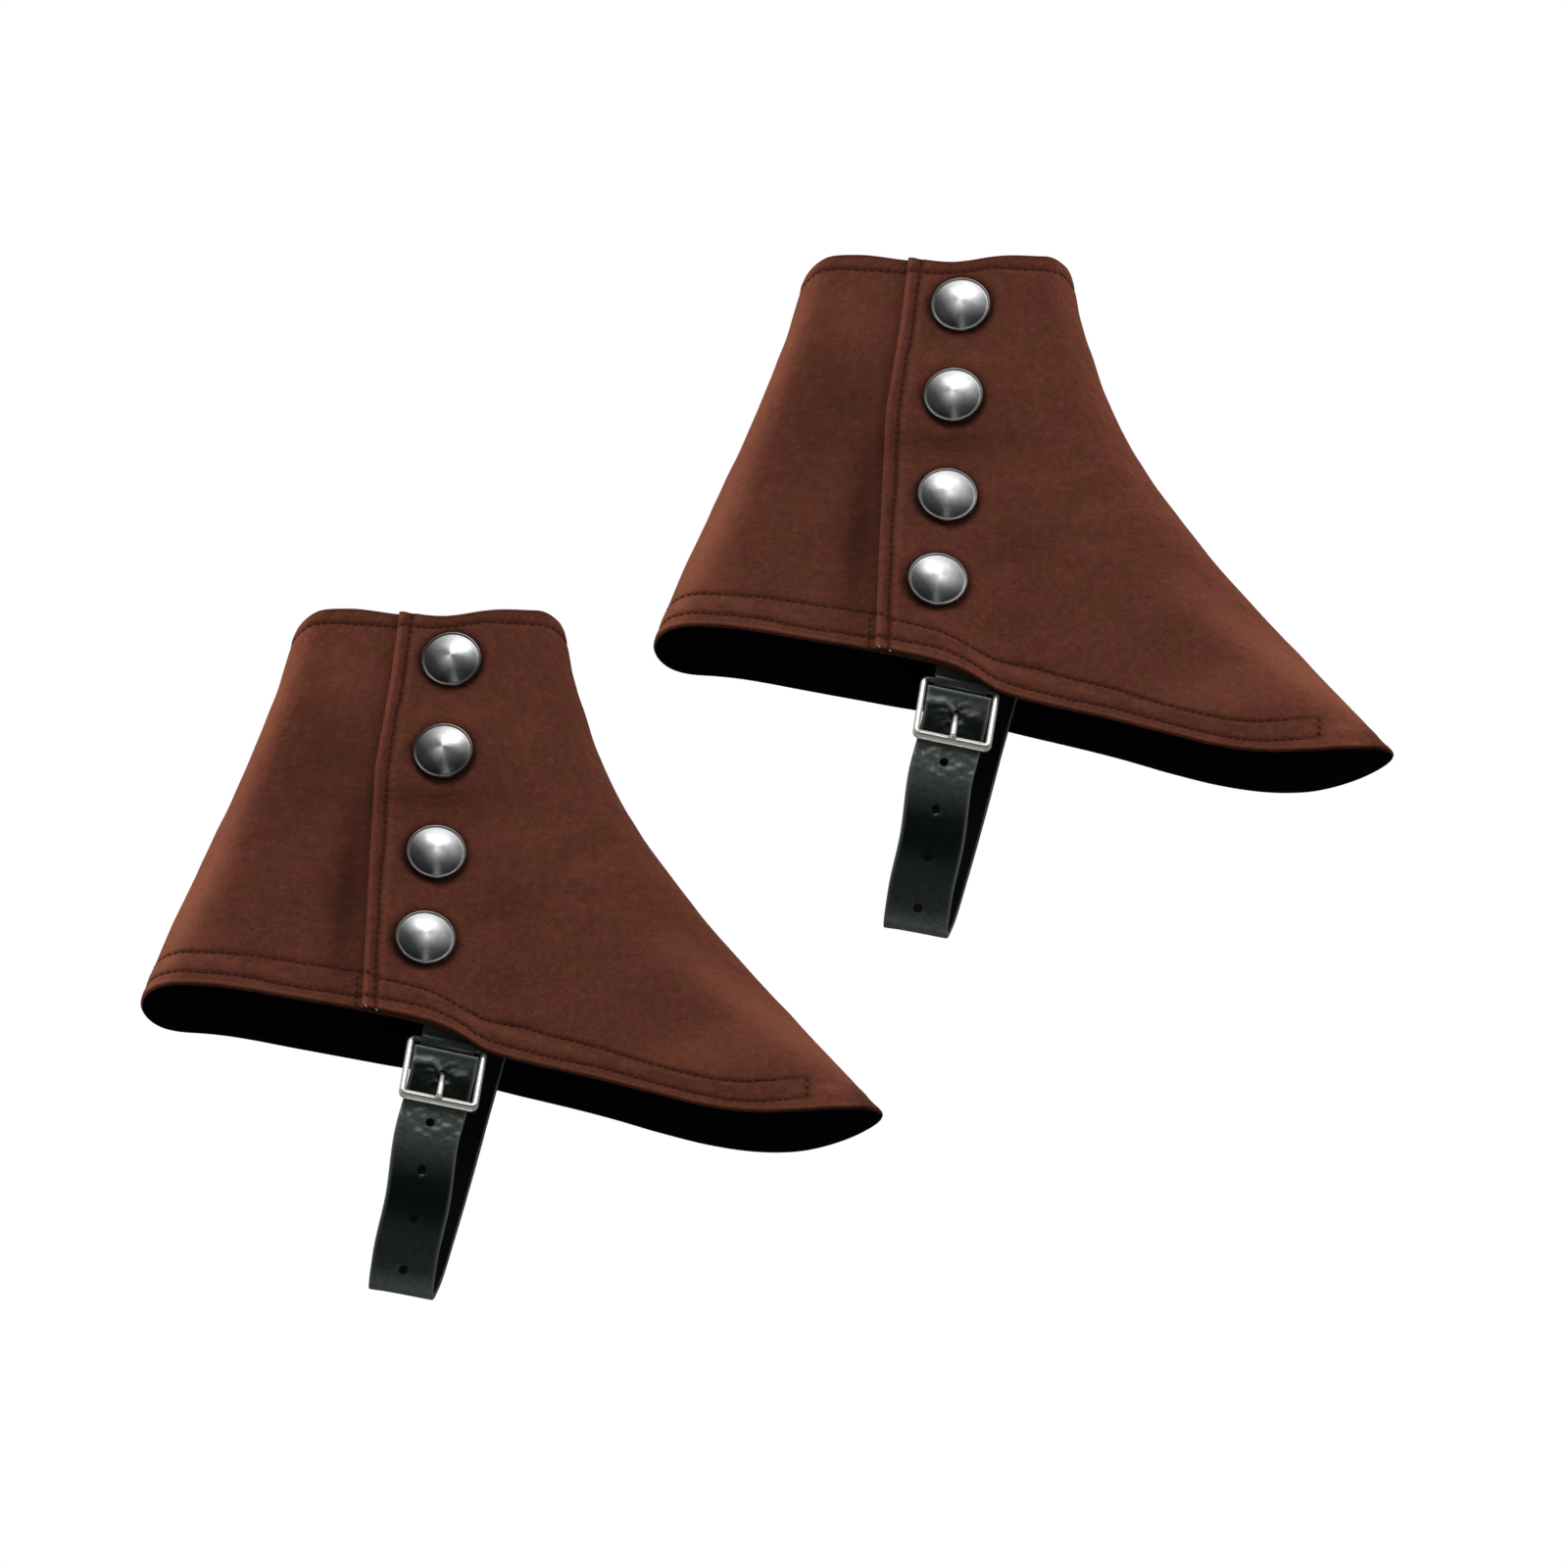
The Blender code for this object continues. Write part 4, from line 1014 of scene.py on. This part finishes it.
def add_strap(cover, strap, leather, backing):
    profile = strap_profile()
    rows, columns = len(strap.line), len(profile)
    across, depth, edge = (np.tile(profile[:, i], (rows, 1)) for i in range(3))
    along = np.tile(strap.reach[:, None], (1, columns))
    from_end = np.minimum(along, strap.reach[-1] - along)
    front = np.clip(1 - depth / STRAP_THICK, 0, 1)
    draw_in = round_off(from_end, 0.45) * np.sign(STRAP_THICK / 2 - depth)
    place = np.stack([across, along, depth], axis=-1)
    used, free = strap.holes[:2]
    from_hole = [np.hypot(across, along - hole) for hole in strap.holes]
    stress = sum(bell(distance, WIDE_STRESS if number < 2 else STRESS)
                 for number, distance in enumerate(from_hole))
    raised = (STRESS_HEIGHT * unevenness(place * (1, 1.6, 0), *STRESS_WAVES) * np.minimum(stress, 1)
              + unevenness(place * (1, 1.3, 0), *HOLE_WAVES) * swells(along - free, HOLE_CREASES)
              + STRAP_HEIGHT * unevenness(place * (1, 0.6, 0), *STRAP_WAVES)
              + RIDGE_HEIGHT * ridge_height(across, along)
              - sum(swells(distance - HOLE_RADIUS, HOLE_DENT) for distance in from_hole)
              + swells(along - used, SIDE_SWELL) * swells(across, SIDE_SPOT)
              + swells(along, TIP_SWELL))
    sink = depth + draw_in - raised * front
    vertices = (strap.line[:, None] + strap.width[:, None] * across[..., None]
                + strap.inward[:, None] * sink[..., None])
    faces = ribbon_faces(rows, columns)
    mesh = make_mesh("strap", vertices.reshape(-1, 3), faces)
    mesh.polygons.foreach_set("material_index", [
        int(all(depth.flat[i] > STRAP_THICK - 0.01 for i in face)) for face in faces])
    # Painted highlight along the ridge (crest) and on the tip, over the paler cut edges that also carry
    # painted highlight
    crest = ridge_height(across, along + 0.35)**2
    # Painted reflection down the strap's face, stronger along the ridge
    worn = np.interp(along, *np.array(STRAP_REFLECTION).T) + 1.5 * crest
    add_values(mesh, edge=np.maximum(np.maximum(0.4 * edge, bell(along, 0.8)), crest),
               glint=np.minimum(stress, 1), worn=worn)
    piece = add_piece(f"{cover}_band", mesh, cover, f"{cover}_strap", "strap_leather",
                      leather, backing)
    cut_shape(piece, [hole_pin(strap, number) for number in range(HOLE_COUNT)])


def hole_pin(strap, number, sides=28):
    """Prism through the strap at one of its holes, oval where the prong stretches it."""
    point, way, along = (read_at([strap.holes[number]], strap.reach, values)[0]
                         for values in (strap.line, strap.inward, strap.ahead))
    way, along = unit(way), unit(along)
    half_length, half_width = USED_HOLE if number == 0 else (HOLE_RADIUS, HOLE_RADIUS)
    c, s = circle(sides)
    ring = np.outer(half_length * c, along) + np.outer(half_width * s, np.cross(way, along))
    vertices = np.concatenate([point - way * 2 + ring, point + way * (STRAP_THICK + 2) + ring])
    return vertices, ribbon_faces(2, sides)


# Materials

class Nodes:
    """Small helper that adds and links the nodes of one material."""

    def __init__(self, name):
        self.material = bpy.data.materials.new(name)
        self.material.use_nodes = True
        self.tree = self.material.node_tree
        self.shader = self.tree.nodes["Principled BSDF"]

    def add(self, kind, **settings):
        node = self.tree.nodes.new(kind)
        for key, value in settings.items():
            if key in node.inputs:
                node.inputs[key].default_value = value
            else:
                setattr(node, key, value)
        return node

    def feed(self, value, target):
        """Link a socket to a target, or set a number or a colour on it."""
        if isinstance(value, bpy.types.NodeSocket):
            self.tree.links.new(value, target)
        elif isinstance(value, tuple) and len(value) < len(target.default_value):
            target.default_value = (*value, 1)
        else:
            target.default_value = value

    def place(self, stretch=(1, 1, 1)):
        mapping = self.add("ShaderNodeMapping", Scale=stretch)
        self.feed(self.add("ShaderNodeTexCoord").outputs["Object"], mapping.inputs["Vector"])
        return mapping.outputs["Vector"]

    def noise(self, size, detail=4, roughness=0.55, stretch=(1, 1, 1)):
        """Noise whose features are about a size in millimetres."""
        noise = self.add("ShaderNodeTexNoise", Scale=1 / (size * MM), Detail=detail,
                         Roughness=roughness)
        self.feed(self.place(stretch), noise.inputs["Vector"])
        return noise.outputs["Fac"]

    def ramp(self, value, low, high, to_low=0, to_high=1):
        ramp = self.add("ShaderNodeMapRange")
        for name, number in (("Value", value), ("From Min", low), ("From Max", high),
                             ("To Min", to_low), ("To Max", to_high)):
            self.feed(number, ramp.inputs[name])
        return ramp.outputs["Result"]

    def mix(self, factor, first, second):
        mix = self.add("ShaderNodeMix", data_type="RGBA")
        for value, target in ((factor, "Factor"), (first, 6), (second, 7)):
            self.feed(value, mix.inputs[target])
        return mix.outputs[2]

    def tint(self, factor, share, colour):
        """Lay a colour over the colour so far, by a factor and its share."""
        self.colour = self.mix(self.times(factor, share) if share else factor, self.colour, colour)

    def math(self, operation, first, second):
        node = self.add("ShaderNodeMath", operation=operation)
        self.feed(first, node.inputs[0])
        self.feed(second, node.inputs[1])
        return node.outputs[0]

    def times(self, first, second):
        return self.math("MULTIPLY", first, second)

    def hypot(self, first, second):
        squares = self.math("ADD", self.times(first, first), self.times(second, second))
        return self.math("SQRT", squares, 0)

    def value_of(self, name):
        return self.add("ShaderNodeAttribute", attribute_name=name).outputs["Fac"]

    def bump(self, height, distance, strength=1, before=None):
        """Bump of a height field whose full range is a distance in millimetres."""
        bump = self.add("ShaderNodeBump", Strength=strength, Distance=distance * MM)
        self.feed(height, bump.inputs["Height"])
        if before:
            self.feed(before, bump.inputs["Normal"])
        return bump.outputs["Normal"]

    def finish(self, **sockets):
        for name, value in {"base_color": self.colour, **sockets}.items():
            self.feed(value, self.shader.inputs[name.replace("_", " ").title().replace("Ior", "IOR")])
        return self.material


def brown_felt():
    """Napped reddish-brown felt, mottled with greenish-brown and redder flecks, with painted shade and
    painted highlights in its colour.
    """
    nodes = Nodes("brown_felt")
    nodes.colour = nodes.mix(nodes.ramp(nodes.noise(30, 3), 0.34, 0.66),
                             (0.081, 0.023, 0.0138), (0.105, 0.0298, 0.0178))
    nodes.tint(nodes.ramp(nodes.noise(7, 5, 0.6), 0.36, 0.62), 0.62, (0.064, 0.023, 0.0125))
    purple = nodes.ramp(nodes.noise(11, 4, stretch=(1, 1, 0.8)), 0.5, 0.7)
    nodes.tint(purple, 0.5, (0.094, 0.0245, 0.0215))
    grain = nodes.noise(2.4, 5, 0.72, (1, 1, 0.75))
    nodes.tint(nodes.ramp(grain, 0.5, 0.68), 0.48, (0.036, 0.015, 0.0085))
    nodes.tint(nodes.ramp(grain, 0.48, 0.3), 0.36, (0.172, 0.048, 0.032))
    # Painted shade along the top edge of the opening
    nodes.tint(nodes.value_of("rim"), 0.72, (0.034, 0.0075, 0.0055))
    # Painted shade and painted highlights from the shade values
    shade = nodes.value_of("shade")
    nodes.tint(nodes.ramp(shade, -1, 0, 1, 0), None, (0.0035, 0.0016, 0.0011))
    nodes.tint(nodes.ramp(shade, 0, 0.5), 0.6, (0.225, 0.078, 0.046))
    # Painted contact shadow round each button, darkest below it and to the left
    aside, above = nodes.value_of("aside"), nodes.value_of("above")
    ring = nodes.ramp(nodes.hypot(aside, above), BUTTON_RADIUS + 2.4, BUTTON_RADIUS + 0.2)
    below = nodes.ramp(nodes.math("ADD", nodes.times(aside, 0.9), above),
                       0.8 * BUTTON_RADIUS, -BUTTON_RADIUS, 0.45, 0.95)
    contact_shadow = nodes.times(nodes.times(nodes.math("POWER", ring, 1.6), below), nodes.value_of("near"))
    nodes.tint(contact_shadow, None, (0.006, 0.0028, 0.002))
    normal = nodes.bump(nodes.noise(3.6, 4, 0.6), 1.1, 0.8)
    normal = nodes.bump(nodes.noise(0.9, 4, 0.7), 0.4, 0.9, normal)
    return nodes.finish(roughness=0.95, normal=normal, sheen_weight=0.25, sheen_roughness=0.5,
                        sheen_tint=(0.85, 0.28, 0.17), specular_ior_level=0.05)


def plain_material(name, cloud, first, second, relief=None, **sockets):
    """Two colours mixed by a noise, with another noise, its depth and its strength as relief."""
    nodes = Nodes(name)
    if relief:
        fibres, depth, strength = relief
        sockets["normal"] = nodes.bump(nodes.noise(*fibres), depth, strength)
    nodes.colour = nodes.mix(nodes.noise(*cloud), first, second)
    return nodes.finish(**sockets)


def spun_metal():
    """Antique silver, spun: fine turned rings, with painted shade to the lower left and over the rolled
    rim.
    """
    nodes = Nodes("antique_silver")
    place = nodes.add("ShaderNodeTexCoord").outputs["Object"]
    apart = nodes.add("ShaderNodeSeparateXYZ")
    nodes.feed(place, apart.inputs["Vector"])
    x, y = apart.outputs["X"], apart.outputs["Y"]
    radius = nodes.hypot(x, y)
    rings = nodes.add("ShaderNodeTexNoise", noise_dimensions="1D", Scale=SPUN_RINGS, Detail=3)
    nodes.feed(radius, rings.inputs["W"])
    tarnish = nodes.add("ShaderNodeTexNoise", Scale=1 / (5 * MM), Detail=5, Roughness=0.6)
    nodes.feed(place, tarnish.inputs["Vector"])
    tarnish = tarnish.outputs["Fac"]
    nodes.colour = nodes.mix(nodes.ramp(tarnish, 0.35, 0.7), (0.54, 0.54, 0.54), (0.38, 0.39, 0.4))
    # Painted shade towards the lower left and the bottom of the dome
    reach = DOME_RADIUS * MM
    lower_left = nodes.math("ADD", nodes.times(x, -0.85 / reach), nodes.times(y, -0.53 / reach))
    lower = nodes.times(y, -1 / reach)
    dark = nodes.math("MAXIMUM", nodes.ramp(lower_left, 0.02, 0.62, 0, 0.8),
                      nodes.ramp(lower, 0.15, 0.6, 0, 0.62))
    nodes.tint(dark, None, (0.04, 0.045, 0.052))
    # Painted shade over the rolled rim
    nodes.tint(nodes.ramp(radius, *(edge * MM for edge in RIM_SHADE)), 0.85, (0.105, 0.094, 0.089))
    tangent = nodes.add("ShaderNodeTangent", direction_type="RADIAL", axis="Z")
    return nodes.finish(metallic=1, roughness=nodes.ramp(tarnish, 0.3, 0.75, 0.37, 0.47),
                        normal=nodes.bump(rings.outputs["Fac"], 0.035, 0.5),
                        tangent=tangent.outputs["Tangent"], anisotropic=0.84,
                        anisotropic_rotation=0.25)


def nickel():
    """Nickel plate with a little wear, and painted shade over the top bar and in a line along the bottom
    bar.
    """
    nodes = Nodes("nickel")
    wear = nodes.noise(2.5, 5, 0.6)
    nodes.colour = nodes.mix(wear, (0.92, 0.91, 0.85), (0.78, 0.77, 0.71))
    # Painted shade on the frame
    nodes.tint(nodes.value_of("dull"), 0.94, (0.03, 0.026, 0.022))
    return nodes.finish(metallic=0.75, roughness=nodes.ramp(wear, 0.3, 0.8, 0.34, 0.48),
                        normal=nodes.bump(nodes.noise(1.1, 3), 0.03, 0.5))


def strap_leather():
    """Glossy black coated leather with a green tint and fine grain; paler cut edges that also carry painted
    highlight, painted highlights on the tip and the ridge, and painted reflection down the face.
    """
    nodes = Nodes("black_leather")
    nodes.colour = nodes.mix(nodes.noise(9, 3), (0.0014, 0.0026, 0.0016),
                             (0.0038, 0.0062, 0.0048))
    # Paler cut edges, partly their own colour and partly painted highlight, and painted highlights on the
    # tip and along the ridge
    nodes.tint(nodes.value_of("edge"), 0.85, (0.24, 0.265, 0.25))
    cells = nodes.add("ShaderNodeTexVoronoi", Scale=1 / (0.75 * MM), feature="DISTANCE_TO_EDGE")
    nodes.feed(nodes.place(), cells.inputs["Vector"])
    grain = nodes.ramp(cells.outputs["Distance"], 0, 0.22)
    creased = nodes.noise(2.2, 5, 0.7, (1, 1, 1.7))
    # Painted reflection, greyish green, in bands down the face and along the ridge
    nodes.tint(nodes.value_of("worn"), nodes.ramp(creased, 0.34, 0.62, 0.62, 1.05),
               (0.066, 0.078, 0.069))
    stress = nodes.ramp(nodes.value_of("glint"), 0.1, 0.9, 0.12, 1)
    normal = nodes.bump(nodes.times(creased, stress), 0.34, 0.6)
    return nodes.finish(roughness=nodes.ramp(creased, 0.3, 0.7, 0.16, 0.26),
                        normal=nodes.bump(grain, 0.012, 0.4, normal),
                        specular_ior_level=0.12, coat_weight=0.045, coat_roughness=0.12)


# Covers

# Each felt panel: its surface and node, and its flat cut as width, length and area of its outline
PANELS = {
    "front_felt": (front_felt, "front_panel", 0.228, 0.252, 0.024),
    "back_felt": (lambda: FeltPanel(-1, back_columns, (0,), (SEAM_RADIUS, EDGE_RADIUS)).shape(),
                  "back_panel", 0.122, 0.172, 0.0176),
    "inner_felt": (lambda: FeltPanel(1, round_columns, (0, -1), (SEAM_RADIUS, SEAM_RADIUS)).shape(),
                   "inner_panel", 0.292, 0.252, 0.0358),
}


def add_cover(cover, materials):
    felts = {}
    for piece, (surface, node, width, length, area) in PANELS.items():
        name = f"{cover}_{piece}"
        felts[piece] = surface()
        shell = add_piece(name, felt_mesh(name, felts[piece]), cover, f"{cover}_{node}", "felt",
                          materials["felt"], materials["felt_back"])
    sew(cover, felts, materials["thread"])
    thread_ends(cover, felts["front_felt"], materials["pale_thread"])
    near_face, far_face = Face(-1), Face(1)
    add_buttons(cover, near_face, materials["dome"])
    frame = BuckleFrame(near_face)
    add_buckle_frame(cover, frame, materials["nickel"])
    add_prong(cover, frame, materials["nickel"])
    add_tab(cover, frame, materials["leather"])
    add_strap(cover, StrapLine(frame, far_face), materials["leather"], materials["leather_back"])


# Studio

def aim(thing, azimuth, elevation, distance):
    """Put a camera or light round the target, turned to it; azimuth 0 is the buttons' side."""
    azimuth, elevation = radians(azimuth), radians(elevation)
    way = Vector((sin(azimuth) * cos(elevation), -cos(azimuth) * cos(elevation),
                  sin(elevation)))
    thing.location = CAMERA_TARGET + way * distance
    thing.rotation_mode = "QUATERNION"
    thing.rotation_quaternion = (-way).to_track_quat("-Z", "Y")


def add_camera():
    data = bpy.data.cameras.new("camera")
    data.lens = CAMERA_LENS
    data.clip_start, data.clip_end = 0.5, 2000
    camera = add_object("camera", data)
    aim(camera, CAMERA_AZIMUTH, CAMERA_ELEVATION, CAMERA_DISTANCE)
    bpy.context.scene.camera = camera


def add_lights():
    for name, azimuth, elevation, distance, size, power, on_cloth, mirrored in LIGHTS:
        data = bpy.data.lights.new(name, "AREA")
        data.shape, data.size, data.energy = "DISK", size, power
        light = add_object(name, data)
        aim(light, azimuth, elevation, distance)
        light.visible_camera = False
        light.visible_diffuse = on_cloth
        light.visible_glossy = mirrored


def add_world():
    """White behind the covers, a soft even sky on the cloth and a darker one in reflections."""
    world = bpy.data.worlds.new("studio")
    bpy.context.scene.world = world
    world.use_nodes = True
    tree = world.node_tree
    tree.nodes.clear()
    coordinates, apart, height, rays, mirrored, even, white, by_gloss, by_camera, output = (
        tree.nodes.new(f"ShaderNode{kind}") for kind in
        ("TexCoord", "SeparateXYZ", "MapRange", "LightPath", *["Background"] * 3,
         *["MixShader"] * 2, "OutputWorld"))
    for name, number in (("From Min", 0.3), ("From Max", 1), ("To Min", 0.025), ("To Max", 0.75)):
        height.inputs[name].default_value = number
    height.interpolation_type = "SMOOTHSTEP"
    even.inputs["Strength"].default_value = 0.3
    white.inputs["Color"].default_value = (1, 1, 1, 1)
    for source, socket, target, entry in (
            (coordinates, "Generated", apart, "Vector"), (apart, "Z", height, "Value"),
            (height, "Result", mirrored, "Strength"), (rays, "Is Glossy Ray", by_gloss, "Fac"),
            (even, "Background", by_gloss, 1), (mirrored, "Background", by_gloss, 2),
            (rays, "Is Camera Ray", by_camera, "Fac"), (by_gloss, "Shader", by_camera, 1),
            (white, "Background", by_camera, 2), (by_camera, "Shader", output, "Surface")):
        tree.links.new(source.outputs[socket], target.inputs[entry])


def add_floor(material):
    """Pale floor far below, because the covers are held up and the camera is below them."""
    half, level = FLOOR_HALF, FLOOR_LEVEL
    mesh = bpy.data.meshes.new("floor")
    corners = [(-half, -half, level), (half, -half, level), (half, half, level),
               (-half, half, level)]
    mesh.from_pydata(corners, [], [(0, 1, 2, 3)])
    mesh.materials.append(material)
    floor = add_object("floor", mesh)
    floor.visible_glossy = False


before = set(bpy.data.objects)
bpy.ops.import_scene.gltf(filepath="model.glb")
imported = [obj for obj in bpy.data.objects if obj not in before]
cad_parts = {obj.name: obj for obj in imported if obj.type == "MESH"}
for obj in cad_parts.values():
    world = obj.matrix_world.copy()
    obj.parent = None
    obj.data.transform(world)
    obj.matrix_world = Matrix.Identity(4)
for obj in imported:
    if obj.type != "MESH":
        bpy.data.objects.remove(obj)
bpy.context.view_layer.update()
bpy.context.scene.view_settings.view_transform = "Standard"

add_camera()
add_world()
add_lights()
add_floor(plain_material("floor", (900,), (0.86, 0.86, 0.86), (0.88, 0.88, 0.88), roughness=0.9,
                         emission_color=(1, 1, 1), emission_strength=0.25))
finishes = {
    "felt": brown_felt(),
    "felt_back": plain_material("black_felt", (4,), (0.0012, 0.0012, 0.0013),
                                (0.0026, 0.0025, 0.0026), ((0.6, 5, 0.75), 0.12, 0.9),
                                roughness=1, specular_ior_level=0.03),
    "thread": plain_material("brown_thread", (0.35, 2), (0.034, 0.0098, 0.006),
                             (0.058, 0.0172, 0.0104), ((0.35, 2), 0.08, 0.8),
                             roughness=0.9, specular_ior_level=0.04),
    "pale_thread": plain_material("pale_thread", (0.4,), (0.2, 0.145, 0.125), (0.31, 0.24, 0.21),
                                  roughness=0.8),
    "dome": spun_metal(),
    "nickel": nickel(),
    "leather": strap_leather(),
    "leather_back": plain_material("strap_backing", (6,), (0.0022, 0.0023, 0.0024),
                                   (0.0045, 0.0046, 0.0048), ((0.5, 4, 0.7), 0.1, 0.8),
                                   roughness=0.9, specular_ior_level=0.08),
}
for cover_name in COVERS:
    add_cover(cover_name, finishes)

bpy.context.view_layer.update()
